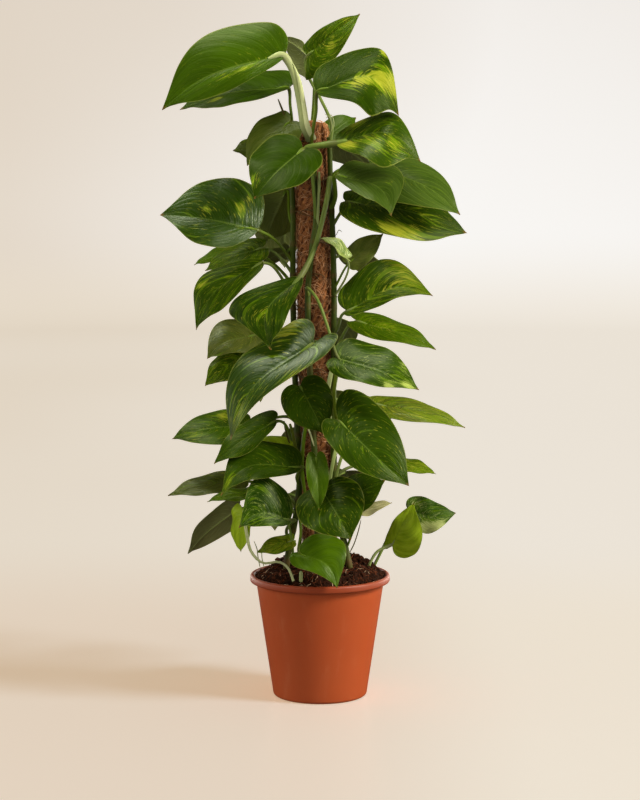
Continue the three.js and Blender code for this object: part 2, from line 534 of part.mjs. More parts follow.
// The soil: filled to the rim and heaped round the stems, highest at the back right.
const soilLump = (a, r) => (
  1.6 * Math.sin(3 * a + r / 9) + 1.3 * Math.sin(5 * a - r / 7 + 1) + 0.9 * Math.sin(8 * a + r / 5)
);
const soilHeight = (a, r) => {
  const heap = Math.min(1, Math.max(0, (86 - r) / 34));
  const back = 4 * Math.sin(a) + 2 * Math.cos(a);
  return (SOIL_TOP - SOIL_EDGE + back) * heap * (2 - heap) + soilLump(a, r) * Math.min(1, heap * 3);
};
const innerR = (z) => wallR(z) - WALL - GAP - 0.35;
const SOIL_RINGS = [86.6, 76, 60, 42, 24, 0];
const soilProfile = [
  [0, FLOOR + GAP], [24.2, FLOOR + GAP], [27.6, 2 * FLOOR + GAP], [BODY_FOOT_R - 6.2, 2 * FLOOR + GAP],
  [innerR(CORNER + 3) - 0.3, CORNER + 3 + GAP], [innerR(150), 150], [innerR(156), 156.5],
  ...SOIL_RINGS.map((r) => [r, SOIL_EDGE]),
];
let soil = turned(soilProfile, 24, (a, r, z, k) =>
  new THREE.Vector3(0, 0, k >= 7 ? soilHeight(a, r) : 0));
const coirRoom = [
  [0, POLE_FOOT - GAP], [POLE_R + 0.2, POLE_FOOT - GAP], [POLE_R + 0.4, SOIL_TOP + 30], [0, SOIL_TOP + 30],
];
const fullCoir = turned(coirRoom, 16, lean);
soil = soil.subtract(fullCoir).subtract(stakeRoom);
for (const name of Object.keys(STEMS)) soil = soil.subtract(stemRoom[name]);
for (const leaf of LEAVES.filter((one) => !one.stem)) soil = soil.subtract(stalkSolid(leaf, GAP + 0.1));

const group = new THREE.Group();
function put(name, body, colour, roughness) {
  const material = new THREE.MeshStandardMaterial({ color: colour, roughness, metalness: 0 });
  const mesh = new THREE.Mesh(geometryOf(body), material);
  mesh.name = name;
  group.add(mesh);
}
put('pot', pot, 0xa8482a, 0.42);
put('soil', soil, 0x2e1b12, 0.95);
put('pole_coir', coir, 0x8a5236, 0.95);
put('pole_stake', stake, 0xb08a5c, 0.8);
for (const [name, body] of Object.entries(stems)) put(name, body, 0x5f7a2a, 0.5);
for (const leaf of LEAVES) put(leaf.name, leafSolids[leaf.name], 0x35600c, 0.35);

export default group;
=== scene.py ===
# %% [markdown]
# # A potted scindapsus on a coir pole
# The object is a climbing house plant. Four stems cling to a pole of coconut fibre and carry
# heart-shaped, glossy leaves on long stalks. All of it stands in dark peat in a nursery pot of
# terracotta-coloured plastic. The imported model already holds every piece at its real size and
# place, so this script keeps those places and gives each piece its fine shape and its finish.
# We start by loading that model.

# %% Load the imported model
import math

import bpy
import numpy as np
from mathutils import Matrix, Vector


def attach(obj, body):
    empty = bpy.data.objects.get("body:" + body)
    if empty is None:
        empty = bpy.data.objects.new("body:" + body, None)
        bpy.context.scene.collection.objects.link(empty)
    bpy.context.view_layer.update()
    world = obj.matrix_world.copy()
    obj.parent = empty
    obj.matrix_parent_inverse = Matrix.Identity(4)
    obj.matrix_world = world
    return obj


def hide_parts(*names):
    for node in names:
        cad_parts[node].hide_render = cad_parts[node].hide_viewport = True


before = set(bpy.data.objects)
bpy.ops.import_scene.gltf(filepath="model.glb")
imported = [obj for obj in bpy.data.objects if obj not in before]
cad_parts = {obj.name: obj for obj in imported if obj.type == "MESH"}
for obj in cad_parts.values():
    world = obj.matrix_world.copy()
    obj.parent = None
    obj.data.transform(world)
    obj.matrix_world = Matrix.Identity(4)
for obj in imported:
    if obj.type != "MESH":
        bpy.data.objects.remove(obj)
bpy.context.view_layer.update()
MM = 0.001

# %% [markdown]
# ## Small helpers
# Blender's operators act on whatever is selected, so every step first deselects everything and
# then picks the pieces it works on. Points go in and out of a mesh as one array, which is the
# fast way to shape a whole sheet by a formula.

# %% Picking pieces, and reading and writing their points
def pick(*pieces):
    """Selects these pieces and nothing else, with the first one active."""
    bpy.ops.object.select_all(action="DESELECT")
    for piece in pieces:
        piece.select_set(True)
    if pieces:
        bpy.context.view_layer.objects.active = pieces[0]


def in_edit_mode(piece, *steps):
    """Runs each step on the whole of the piece in edit mode."""
    pick(piece)
    bpy.ops.object.mode_set(mode="EDIT")
    for step in steps:
        bpy.ops.mesh.select_all(action="SELECT")
        step()
    bpy.ops.object.mode_set(mode="OBJECT")


def points_of(piece):
    flat = np.empty(3 * len(piece.data.vertices), np.float32)
    piece.data.vertices.foreach_get("co", flat)
    return flat.reshape(-1, 3).astype(float)


def move_points(piece, points):
    piece.data.vertices.foreach_set("co", np.asarray(points, np.float32).ravel())
    piece.data.update()


def merge_points(distance=1e-6):
    bpy.ops.mesh.remove_doubles(threshold=distance)


def face_outwards():
    bpy.ops.mesh.normals_make_consistent(inside=False)


def show(name, mesh):
    """A new object in the scene that shows the mesh."""
    piece = bpy.data.objects.new(name, mesh)
    bpy.context.scene.collection.objects.link(piece)
    return piece


# %% Round pieces, modifiers, joins, and the last step of every piece
def spin_outline(name, outline, steps, *then):
    """A round piece: a chain of (radius, height) points in metres, spun round the upright axis."""
    mesh = bpy.data.meshes.new(name)
    edges = [(i, i + 1) for i in range(len(outline) - 1)]
    mesh.from_pydata([(r, 0, z) for r, z in outline], edges, [])
    piece = show(name, mesh)

    def spin():
        bpy.ops.mesh.spin(steps=steps, angle=math.tau, center=(0, 0, 0), axis=(0, 0, 1))

    in_edit_mode(piece, spin, merge_points, *then)
    return piece


def apply_modifiers(piece):
    pick(piece)
    for modifier in list(piece.modifiers):
        bpy.ops.object.modifier_apply(modifier=modifier.name)


def join(name, pieces):
    pick(*pieces)
    if len(pieces) > 1:
        bpy.ops.object.join()
    pieces[0].name = pieces[0].data.name = name
    return pieces[0]


def finish_piece(piece, node, angle):
    """Smooths the piece where it turns by less than the angle, lets it ride on the one body, and
    puts it in the place of its node."""
    pick(piece)
    bpy.ops.object.shade_smooth_by_angle(angle=math.radians(angle))
    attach(piece, "root")
    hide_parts(node)


# %% [markdown]
# ## The camera
# How round the pot's rim and foot look in the photograph gives the camera: 3.34 m in front of the
# pot, 0.83 m up, tilted down by about 7 degrees, through a long lens. The same three numbers also
# turn a spot of the photograph into a place in the room, which is how each leaf finds its place.

# %% The camera at the photograph's place
EYE = np.array([0.0, -3342.0, 826.0])
PITCH = math.radians(7.18)
FOCAL = 2497.0  # in picture points, for a picture 640 wide and 800 tall
PICTURE = (640, 800)
AHEAD = np.array([0.0, math.cos(PITCH), -math.sin(PITCH)])
ABOVE = np.array([0.0, math.sin(PITCH), math.cos(PITCH)])


def seen(spot):
    """The place, in millimetres, of what the photograph shows at (px, py), at the depth y."""
    px, py, y = spot
    ray = AHEAD + ABOVE * (PICTURE[1] / 2 - py) / FOCAL
    ray[0] += (px - PICTURE[0] / 2) / FOCAL
    return EYE + ray * (y - EYE[1]) / ray[1]


pick()
bpy.ops.object.camera_add(location=EYE * MM, rotation=(math.radians(90) - PITCH, 0, 0))
camera = bpy.context.object
camera.data.sensor_width = 36
camera.data.lens = camera.data.sensor_width * FOCAL / PICTURE[1]
bpy.context.scene.camera = camera
print("lens", round(camera.data.lens, 1), "mm")

# %% [markdown]
# ## Studio and light
# The plant stands on a pale, warm sweep of paper without an edge. A wide dish turned round the
# pot gives that from every side. The paper is hidden from the plant's own light: a real studio is
# dark behind the camera, and a bright dish all round would lay a grey haze on the leaves.

# %% The pale sweep
FLOOR_R, BEND_R, WALL_TOP = 5.2, 1.6, 7.0  # in metres


def face_inwards():
    bpy.ops.mesh.normals_make_consistent(inside=True)


def paper_sweep():
    steps = 14
    profile = [(0, 0), (FLOOR_R * 0.5, 0), (FLOOR_R, 0)]
    for i in range(1, steps + 1):
        turn = math.radians(90) * i / steps
        profile.append((FLOOR_R + BEND_R * math.sin(turn), BEND_R * (1 - math.cos(turn))))
    profile.append((FLOOR_R + BEND_R, WALL_TOP))
    sweep = spin_outline("paper_sweep", profile, 96, face_inwards)
    bpy.ops.object.shade_smooth()
    sweep.visible_diffuse = False
    sweep.visible_glossy = False
    return sweep


sweep = paper_sweep()
print("sweep", len(sweep.data.polygons), "faces")

# %% [markdown]
# The soft shadow on the floor falls to the left and a little back, so the main light is a soft
# box on the right, a little in front, about 40 degrees up. A larger box overhead gives the leaves
# their broad pale gloss, weaker ones at both sides and in front keep the shadows open, and two
# behind let the edges stand out from the wall. None of these lights the paper. It has a lamp of
# its own, from the side of the main light, that casts the plant's shadow, so it stays even. A box's
# row gives its place, the spot it is turned to and its size in metres, its tint and its watts.

# %% The soft boxes
def light_group(name, piece, state):
    """A set that a lamp can be told to light, where state is INCLUDE, or to leave dark, EXCLUDE."""
    group = bpy.data.collections.new(name)
    group.objects.link(piece)
    group.collection_objects[0].light_linking.link_state = state
    return group


OFF_THE_PAPER = light_group("off_the_paper", sweep, "EXCLUDE")
ONLY_THE_PAPER = light_group("only_the_paper", sweep, "INCLUDE")


def lamp_at(kind, name, place, aim, tint, power):
    """A lamp that the camera doesn't see, turned from its place to what it lights, in metres."""
    pick()
    bpy.ops.object.light_add(type=kind, location=place)
    lamp = bpy.context.object
    lamp.name = name
    lamp.data.energy, lamp.data.color = power, tint
    lamp.rotation_euler = (Vector(aim) - Vector(place)).to_track_quat("-Z", "Y").to_euler()
    lamp.visible_camera = False
    return lamp


def soft_box(name, place, aim, size, tint, power, glossy=True, group=OFF_THE_PAPER):
    """A rectangle of light. Only a glossy one shows as a shine on what it lights."""
    lamp = lamp_at("AREA", name, place, aim, tint, power)
    lamp.data.shape = "RECTANGLE"
    lamp.data.size, lamp.data.size_y = size
    lamp.visible_glossy = glossy
    lamp.light_linking.receiver_collection = group


WARM, NEUTRAL, BLUISH = (1.0, 0.96, 0.83), (1.0, 0.97, 0.86), (0.63, 0.81, 1.0)
soft_box("light_key", (2.3, -1.1, 2.1), (0, 0, 0.45), (0.8, 0.8), WARM, 105)
soft_box("light_right", (2.2, -0.7, 0.7), (0, 0, 0.3), (0.9, 1.5), WARM, 26)
soft_box("light_top", (-0.5, -0.4, 2.5), (0, 0, 0.5), (1.1, 0.9), NEUTRAL, 44)
soft_box("light_left", (-2.2, -0.5, 0.8), (0, 0, 0.3), (1.5, 1.4), NEUTRAL, 15)
soft_box("light_back_right", (1.0, 2.3, 0.6), (0, 0, 0.3), (1.5, 1.6), NEUTRAL, 16)
soft_box("light_back_left", (-1.1, 2.3, 0.6), (0, 0, 0.3), (1.5, 1.6), NEUTRAL, 10)
soft_box("light_front", (-1.6, -3.0, 1.3), (0, 0, 0.4), (2.0, 2.0), NEUTRAL, 26, glossy=False)

# The paper's glow is warm, so its lamp is bluish, and what it lights comes out pale.
paper_lamp = lamp_at("SUN", "light_paper", (2.3, -0.96, 1.9), (0, 0, 0), BLUISH, 1.39)
paper_lamp.data.angle = math.radians(15)
paper_lamp.light_linking.receiver_collection = ONLY_THE_PAPER
paper_lamp.light_linking.blocker_collection = OFF_THE_PAPER

world = bpy.data.worlds.new("studio")
bpy.context.scene.world = world
world.use_nodes = True
air = world.node_tree.nodes["Background"].inputs
air["Color"].default_value = (1.0, 0.95, 0.87, 1)
air["Strength"].default_value = 0.24
world.cycles_visibility.glossy = False
bpy.context.scene.view_settings.view_transform = "Standard"

# %% [markdown]
# ## How the materials are written
# A material is a small tree of nodes. Two helpers keep that short: one turns a colour as it is
# read off a colour card into Blender's linear values, and one adds a node and wires its inputs in
# the same line. An input that is a number is typed in, one that is a colour card is turned first,
# and one that is another node's output is linked.

# %% Colours and nodes
def colour(card):
    """Linear red, green, blue and alpha of a colour written as on a colour card, "#rrggbb"."""
    parts = [int(card[i : i + 2], 16) / 255 for i in (1, 3, 5)]
    return (*[p / 12.92 if p <= 0.04045 else ((p + 0.055) / 1.055) ** 2.4 for p in parts], 1.0)


class Finish:
    """A material with its Principled shader, and short ways to add nodes to it."""

    def __init__(self, name, **shader):
        self.material = bpy.data.materials.new(name)
        self.material.use_nodes = True
        self.tree = self.material.node_tree
        self.shader = self.tree.nodes["Principled BSDF"]
        self.wire(self.shader, shader)

    def wire(self, node, inputs):
        for key, value in inputs.items():
            socket = node.inputs[key.replace("_", " ") if isinstance(key, str) else key]
            if isinstance(value, bpy.types.NodeSocket):
                self.tree.links.new(value, socket)
            else:
                socket.default_value = colour(value) if isinstance(value, str) else value

    def add(self, kind, inputs=None, out=0, **settings):
        node = self.tree.nodes.new("ShaderNode" + kind)
        for key, value in settings.items():
            setattr(node, key, value)
        self.wire(node, inputs or {})
        return node.outputs[out]

    def maths(self, operation, a, b=0.0):
        return self.add("Math", {0: a, 1: b}, operation=operation)

    def plus(self, a, b):
        return self.maths("ADD", a, b)

    def times(self, a, b):
        return self.maths("MULTIPLY", a, b)

    def ramp(self, value, low, high, start=0.0, end=1.0):
        """Eases from start to end as value goes from low to high."""
        steps = {"Value": value, "From Min": low, "From Max": high, "To Min": start, "To Max": end}
        return self.add("MapRange", steps, interpolation_type="SMOOTHSTEP")

    def mix(self, share, a, b):
        """Goes from colour a to colour b as share goes from 0 to 1."""
        return self.add("Mix", {0: share, 6: a, 7: b}, out=2, data_type="RGBA")

    def noise(self, where, scale, detail=3.0, rough=0.5, bend=0.0):
        inputs = {"Vector": where, "Scale": scale, "Detail": detail, "Roughness": rough, "Distortion": bend}
        return self.add("TexNoise", inputs)

    def bump(self, height, distance, strength=1.0):
        return self.add("Bump", {"Height": height, "Distance": distance, "Strength": strength})

    def place(self, stretch=(1, 1, 1)):
        """The spot on the object, in metres, stretched for patterns that run one way."""
        spot = self.add("TexCoord", out=3)
        return self.add("Mapping", {"Vector": spot, "Scale": stretch})

    def place_parts(self):
        """How far right, how far back and how high the spot on the object is, in metres."""
        return self.add("SeparateXYZ", {"Vector": self.place()}).node.outputs

    def tones(self):
        """Red, green, blue and alpha of the mesh's own colour, "tone"."""
        tone = self.add("Attribute", attribute_name="tone").node
        parts = self.add("SeparateColor", {"Color": tone.outputs["Color"]}).node
        return (*parts.outputs[:3], tone.outputs["Alpha"])


print("a pot colour in linear values:", [round(v, 3) for v in colour("#a8482a")])

# %% [markdown]
# ## Paper
# The sweep is matt paper of a warm cream. It is painted with a glow of its own, painted light that stands in
# for most of the studio's light on it, so it needs little light from the lamps. The glow is what differs
# from place to place, as painted light fall-off: the floor by the pot is warmer and darker to the left, and
# the wall is paler toward the top and the right, with a trace of unevenness all over.

# %% The paper's finish
paper = Finish("paper", Roughness=0.4)
paper_x, paper_y, paper_z = paper.place_parts()
patchy = paper.noise(paper.place(), 0.6, 2, 0.1)
# Painted light fall-off: the paper's colour is painted lighter toward the right, and random patches lie over
# it.
painted_falloff_and_patches = paper.plus(paper.ramp(paper_x, -1.4, 1.4, -0.4, 0.9), patchy)
# Painted light: the glow is warmer and darker near the pot's left, and paler high on the wall and to the
# right.
near_floor = paper.mix(paper.ramp(paper_x, -0.05, 0.3), "#e4c49f", "#f3dec0")
far_floor = paper.mix(painted_falloff_and_patches, "#e6cfb0", "#f2e1ca")
high_wall = paper.mix(painted_falloff_and_patches, "#d3b692", "#fff8f2")
painted_glow = paper.mix(paper.ramp(paper_z, -0.05, 0.3), far_floor, high_wall)
paper.wire(paper.shader, {
    "Base Color": paper.mix(painted_falloff_and_patches, "#e6e0d6", "#ebe7e0"),
    "Specular IOR Level": 0.05,
    "Emission Color": paper.mix(paper.ramp(paper_y, 0.35, 1.2), near_floor, painted_glow),
    "Emission Strength": 0.6,
})
sweep.data.materials.append(paper.material)

# %% [markdown]
# ## Lines and tubes
# Stems, stalks and roots are all long round things along a smooth line. A line is given by a few
# points, and a curve is drawn smoothly through them. A tube starts as a flat grid: its columns are
# wrapped round the line and its rows follow it, its seam is then merged, and both ends are drawn
# together to a point inside what they grow from.

# %% A smooth line through points
def smooth_line(points, shares):
    """Points on a smooth curve through the given ones. A share of 0 is the first, 1 the last."""
    p = np.asarray(points, float)
    last = len(p) - 1
    p = np.vstack([2 * p[0] - p[1], p, 2 * p[-1] - p[-2]])
    at = np.clip(np.asarray(shares, float), 0, 1) * last
    k = np.minimum(at.astype(int), last - 1)
    f = (at - k)[:, None]
    a, b, c, d = p[k], p[k + 1], p[k + 2], p[k + 3]

    def gap(m, n):
        return np.maximum(np.sqrt(np.linalg.norm(n - m, axis=1)), 1e-4)[:, None]

    u, v, w = gap(a, b), gap(b, c), gap(c, d)
    leave = ((b - a) / u - (c - a) / (u + v) + (c - b) / v) * v
    arrive = ((c - b) / v - (d - b) / (v + w) + (d - c) / w) * v
    square, cube = f * f, f * f * f
    return (
        b * (2 * cube - 3 * square + 1) + leave * (cube - 2 * square + f)
        + c * (3 * square - 2 * cube) + arrive * (cube - square)
    )


# %% A tube along a line
def frames_along(line, start):
    """The direction of the line at each point, and two directions across it that never twist."""
    way = np.gradient(line, axis=0)
    way /= np.maximum(np.linalg.norm(way, axis=1), 1e-9)[:, None]
    side = np.array(start, float)
    sides = []
    for along in way:
        side = side - along * side.dot(along)
        side = side / np.linalg.norm(side)
        sides.append(side)
    sides = np.array(sides)
    return way, sides, np.cross(way, sides)


def wrap_points(line, radii, turn, share, start, groove):
    """Points round a line: turn is how far round, share which row, groove how deep a channel is."""
    line = np.vstack([line[0], line, line[-1]])
    radii = np.concatenate([[0], radii, [0]])
    _, side, up = frames_along(line[1:-1], start)
    side, up = (np.vstack([m[0], m, m[-1]]) for m in (side, up))
    row = np.rint(share * (len(line) - 1)).astype(int)
    angle = 2 * math.pi * turn
    dent = 1 - groove * np.exp(-((np.angle(np.exp(1j * (angle - math.pi / 2))) / 0.5) ** 2))
    r = (radii[row] * dent)[:, None]
    return line[row] + r * (np.cos(angle)[:, None] * side[row] + np.sin(angle)[:, None] * up[row])


# %% The mesh's own colour and map
def set_tone(piece, tone):
    """Writes red, green, blue and alpha of each point into the mesh's own colour, "tone"."""
    values = np.empty((len(piece.data.vertices), 4), np.float32)
    values[:] = tone
    layer = piece.data.color_attributes.new("tone", "FLOAT_COLOR", "POINT")
    layer.data.foreach_set("color", values.ravel())


def set_map(piece, across, along):
    """Writes the piece's UV map from two numbers for each point."""
    corner = np.empty(len(piece.data.loops), np.int32)
    piece.data.loops.foreach_get("vertex_index", corner)
    spots = np.stack([across[corner], along[corner]], 1).astype(np.float32)
    piece.data.uv_layers[0].data.foreach_set("uv", spots.ravel())


# %% Grids and tubes
def flat_grid(name, columns, rows):
    """A grid, and for each of its points the shares of the way across and along it."""
    pick()
    bpy.ops.mesh.primitive_grid_add(x_subdivisions=columns, y_subdivisions=rows, size=1)
    piece = bpy.context.object
    piece.name = name
    spots = points_of(piece)
    return piece, spots[:, 0] + 0.5, spots[:, 1] + 0.5


def tube(name, line, radii, sides, material, tone, start=(1, 0.21, 0.13), groove=0.0):
    """A closed tube along a line in millimetres. tone may be one colour or one for each row."""
    piece, turn, share = flat_grid(name, sides, len(line) + 1)
    move_points(piece, wrap_points(line, np.asarray(radii, float), turn, share, start, groove) * MM)
    set_map(piece, turn, share)
    tone = np.asarray(tone, float)
    if tone.ndim == 2:
        row = np.clip(np.rint(share * (len(line) + 1)).astype(int) - 1, 0, len(line) - 1)
        tone = tone[row]
    set_tone(piece, tone)
    piece.data.materials.append(material)
    in_edit_mode(piece, merge_points, face_outwards)
    return piece


# %% [markdown]
# ## Things that repeat by the thousand
# Fibres and crumbs would take minutes with operators, so one of them is shaped and its points are
# copied in an array: every copy gets its own size, turn and place, and all of them become one
# mesh. Each copy has only a few faces.

# %% Many copies as one mesh
def mesh_of(name, points, faces, material, tone):
    """A piece straight from its points, its faces with equal corners, and a tone for each point."""
    mesh = bpy.data.meshes.new(name)
    mesh.vertices.add(len(points))
    mesh.vertices.foreach_set("co", np.asarray(points, np.float32).ravel())
    corners = faces.shape[1]
    mesh.loops.add(faces.size)
    mesh.loops.foreach_set("vertex_index", faces.astype(np.int32).ravel())
    mesh.polygons.add(len(faces))
    mesh.polygons.foreach_set("loop_start", (np.arange(len(faces)) * corners).astype(np.int32))
    mesh.update(calc_edges=True)
    mesh.validate()
    mesh.uv_layers.new(name="UVMap")
    piece = show(name, mesh)
    set_tone(piece, tone)
    mesh.materials.append(material)
    return piece


# %% Hairs and crumbs
def hairs(name, lines, thick, material, tone):
    """Thin three-sided hairs. lines holds (hair, point, xyz) in millimetres."""
    count, rows = lines.shape[:2]
    way = np.gradient(lines, axis=1)
    way /= np.maximum(np.linalg.norm(way, axis=2, keepdims=True), 1e-9)
    side = np.cross(way, np.array([0.31, 0.52, 0.79]))
    side /= np.maximum(np.linalg.norm(side, axis=2, keepdims=True), 1e-9)
    up = np.cross(way, side)
    taper = np.sin(np.linspace(0.12, 1, rows) * math.pi * 0.93)[None, :, None, None]
    angle = (np.arange(3) * 2 * math.pi / 3)[None, None, :, None]
    ring = np.cos(angle) * side[:, :, None] + np.sin(angle) * up[:, :, None]
    points = lines[:, :, None] + ring * taper * np.asarray(thick)[:, None, None, None]
    j, i = np.meshgrid(np.arange(rows - 1), np.arange(3), indexing="ij")
    after = (i + 1) % 3
    quad = np.stack([j * 3 + i, j * 3 + after, (j + 1) * 3 + after, (j + 1) * 3 + i], -1).reshape(-1, 4)
    last = (rows - 1) * 3
    ends = [[0, 2, 1], [last, last + 1, last + 2]]
    sides = np.vstack([quad[:, [0, 1, 2]], quad[:, [0, 2, 3]], ends])
    faces = (sides[None] + (np.arange(count) * rows * 3)[:, None, None]).reshape(-1, 3)
    return mesh_of(name, points.reshape(-1, 3) * MM, faces, material, np.repeat(tone, rows * 3, axis=0))


def crumbs(name, places, sizes, material, tone, rng):
    """Small uneven lumps, each a dented ball of 20 faces, stretched and turned its own way."""
    pick()
    bpy.ops.mesh.primitive_ico_sphere_add(subdivisions=1, radius=1)
    ball = bpy.context.object
    shape = points_of(ball)
    faces = np.array([list(p.vertices) for p in ball.data.polygons])
    bpy.data.objects.remove(ball)
    count = len(places)
    dents = 1 + rng.uniform(-0.28, 0.28, (count, len(shape), 1))
    turns = np.linalg.qr(rng.normal(size=(count, 3, 3)))[0]
    turns[np.linalg.det(turns) < 0, :, 0] *= -1
    points = np.einsum("nij,npj->npi", turns, shape[None] * dents * sizes[:, None, :]) + places[:, None]
    faces = (faces[None] + (np.arange(count) * len(shape))[:, None, None]).reshape(-1, 3)
    return mesh_of(name, points.reshape(-1, 3) * MM, faces, material, np.repeat(tone, len(shape), axis=0))


# %% [markdown]
# ## The pot
# The real pot is blown or pressed from thin plastic: a plain tapering wall, a rolled lip, a
# rounded foot and a base with drain holes. All of it is round, so its outline is drawn once, as a
# chain of points, and spun round the pot's axis. Corners that are arcs on the real pot are short
# arcs in the outline. The drain holes are then cut with eight round cutters.

# %% The pot's sizes
RIM_R, POT_H = 95.0, 167.0
BODY_TOP_R, BODY_TOP_Z, BODY_FOOT_R, CORNER = 86.0, 152.0, 64.2, 5.0
WALL, FLOOR = 1.8, 2.5
CHANNEL = 28.0, 51.0  # the raised ring in the base, from its inner to its outer radius
DRAIN_R, DRAIN_RING, DRAIN_COUNT = 5.0, 40.0, 8


def wall_r(z):
    """The outer radius of the pot's wall at a height."""
    return BODY_FOOT_R + (BODY_TOP_R - BODY_FOOT_R) * (z - CORNER) / (BODY_TOP_Z - CORNER)


def arc(centre, radius, start, end, steps):
    """Points on an arc from one bearing to another, in degrees."""
    turns = np.radians(np.linspace(start, end, steps + 1))
    return [(centre[0] + radius * math.cos(t), centre[1] + radius * math.sin(t)) for t in turns]


# %% The pot's finish
LIP_FOOT_Z, LIP_Z = 0.1545, 0.158  # in metres, where the wall turns into the darker lip
plastic = Finish("terracotta_plastic", Roughness=0.36)
dust = plastic.noise(plastic.place((1, 1, 0.25)), 55, 4, 0.6)
haze = plastic.noise(plastic.place(), 9, 3)
height = plastic.place_parts()[2]
clay = plastic.mix(haze, "#a84822", "#b3532b")
clay = plastic.mix(plastic.ramp(dust, 0.55, 0.85, 0, 0.22), clay, "#c9855c")
# Painted shade: the lip is painted a dark red, as if the light only grazed it.
clay = plastic.mix(plastic.ramp(height, LIP_FOOT_Z, LIP_Z, 0, 0.45), clay, "#661a04")
matt_lip = plastic.ramp(height, LIP_FOOT_Z, LIP_Z, 0, 0.15)
grain = plastic.noise(plastic.place(), 900, 2)
plastic.wire(plastic.shader, {
    "Base Color": clay,
    "Roughness": plastic.plus(plastic.ramp(dust, 0.3, 0.8, 0.31, 0.36), matt_lip),
    "Normal": plastic.bump(grain, 0.00004, 0.6),
    "Subsurface Weight": 0.12,
    "Subsurface Radius": (0.004, 0.0015, 0.0008),
    "Subsurface Scale": 1.0,
    "Specular IOR Level": 0.42,
})


# %% The pot, spun from its outline
def drop_flat_faces():
    bpy.ops.mesh.dissolve_degenerate(threshold=1e-7)


def make_pot():
    """The outline runs from the middle of the base, up the outside, over the lip and down inside."""
    inner, outer = CHANNEL
    outline = [(0, 0), (inner - 1.6, 0), (inner, 0.5), (inner + 1.6, 2), (inner + 3, FLOOR)]
    outline += [(outer - 3, FLOOR), (outer - 1.4, 2), (outer, 0.5), (outer + 1.4, 0)]
    outline += arc((BODY_FOOT_R - 4.9, 4.9), 4.9, -90, -8, 8)
    outline += [(wall_r(z), z) for z in (12, 30, 60, 90, 120, 140, 148)]
    outline += arc((BODY_TOP_R + 3.2, BODY_TOP_Z + 2), 3.2, 176, 105, 5)
    outline += arc((RIM_R - 2.2, 159.6), 2.2, -80, -5, 5)
    outline += arc((RIM_R - 3.0, POT_H - 3.0), 3.0, 3, 88, 6)
    outline += arc((RIM_R - 3.4, POT_H - 3.2), 3.2, 100, 178, 5)
    outline += [(wall_r(157) - WALL, 157), (wall_r(120) - WALL, 120), (wall_r(60) - WALL, 60)]
    outline += arc((BODY_FOOT_R - 7, 9), 5.2, 0, -82, 5)
    outline += [(inner, 2 * FLOOR), (inner - 3, FLOOR), (0, FLOOR)]
    outline = [(r * MM, z * MM) for r, z in outline]
    return spin_outline("pot_body", outline, 144, drop_flat_faces, face_outwards)


def cut_drain_holes(pot):
    cutters = []
    for i in range(DRAIN_COUNT):
        a = math.tau * (i + 0.5) / DRAIN_COUNT
        spot = (DRAIN_RING * MM * math.cos(a), DRAIN_RING * MM * math.sin(a), 4 * MM)
        pick()
        bpy.ops.mesh.primitive_cylinder_add(vertices=28, radius=DRAIN_R * MM, depth=14 * MM, location=spot)
        cutters.append(bpy.context.object)
    cutter = join("drain_cutter", cutters)
    cut = pot.modifiers.new("drain", "BOOLEAN")
    cut.operation, cut.object, cut.solver = "DIFFERENCE", cutter, "EXACT"
    apply_modifiers(pot)
    bpy.data.objects.remove(cutter)


pot = make_pot()
cut_drain_holes(pot)
pot.data.materials.clear()
pot.data.materials.append(plastic.material)
finish_piece(pot, "pot", 35)

# In the photograph the pale paper shines on the pot's sides. Here two boxes for the pot do that.
ONLY_THE_POT = light_group("only_the_pot", pot, "INCLUDE")
soft_box("pot_edge_right", (1.7, 1.5, 0.25), (0, 0, 0.08), (2.2, 0.8), NEUTRAL, 30, group=ONLY_THE_POT)
soft_box("pot_edge_left", (-1.7, 1.5, 0.25), (0, 0, 0.08), (2.2, 0.8), NEUTRAL, 26, group=ONLY_THE_POT)
print("pot", len(pot.data.polygons), "faces, radius", round(max(v.co.x for v in pot.data.vertices), 4))

# %% [markdown]
# ## The pole and the stems
# The pole leans a little to the left as it rises, and the stems hug it. The lines are the same
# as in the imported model. Every stem is a tube that swells at each joint, where a leaf once grew
# or still grows, and short brown roots reach from the joints into the coir.

# %% The lines of the pole and the stems
POLE_R, POLE_TOP, POLE_FOOT, POLE_LEAN = 24.5, 780.0, 70.0, -12.0
STEM_R = 4.4
HUG = POLE_R + STEM_R + 0.35
SOIL_EDGE, SOIL_TOP = 164.0, 181.0


def pole_x(z):
    """How far right the pole's axis is at a height."""
    return POLE_LEAN * (z - POT_H) / (POLE_TOP - POT_H)


def pole_spot(z, degrees, out):
    """The spot at a height, at a bearing round the pole, and so far out from its axis."""
    a = math.radians(degrees)
    return np.array([pole_x(z) + out * math.cos(a), out * math.sin(a), z])


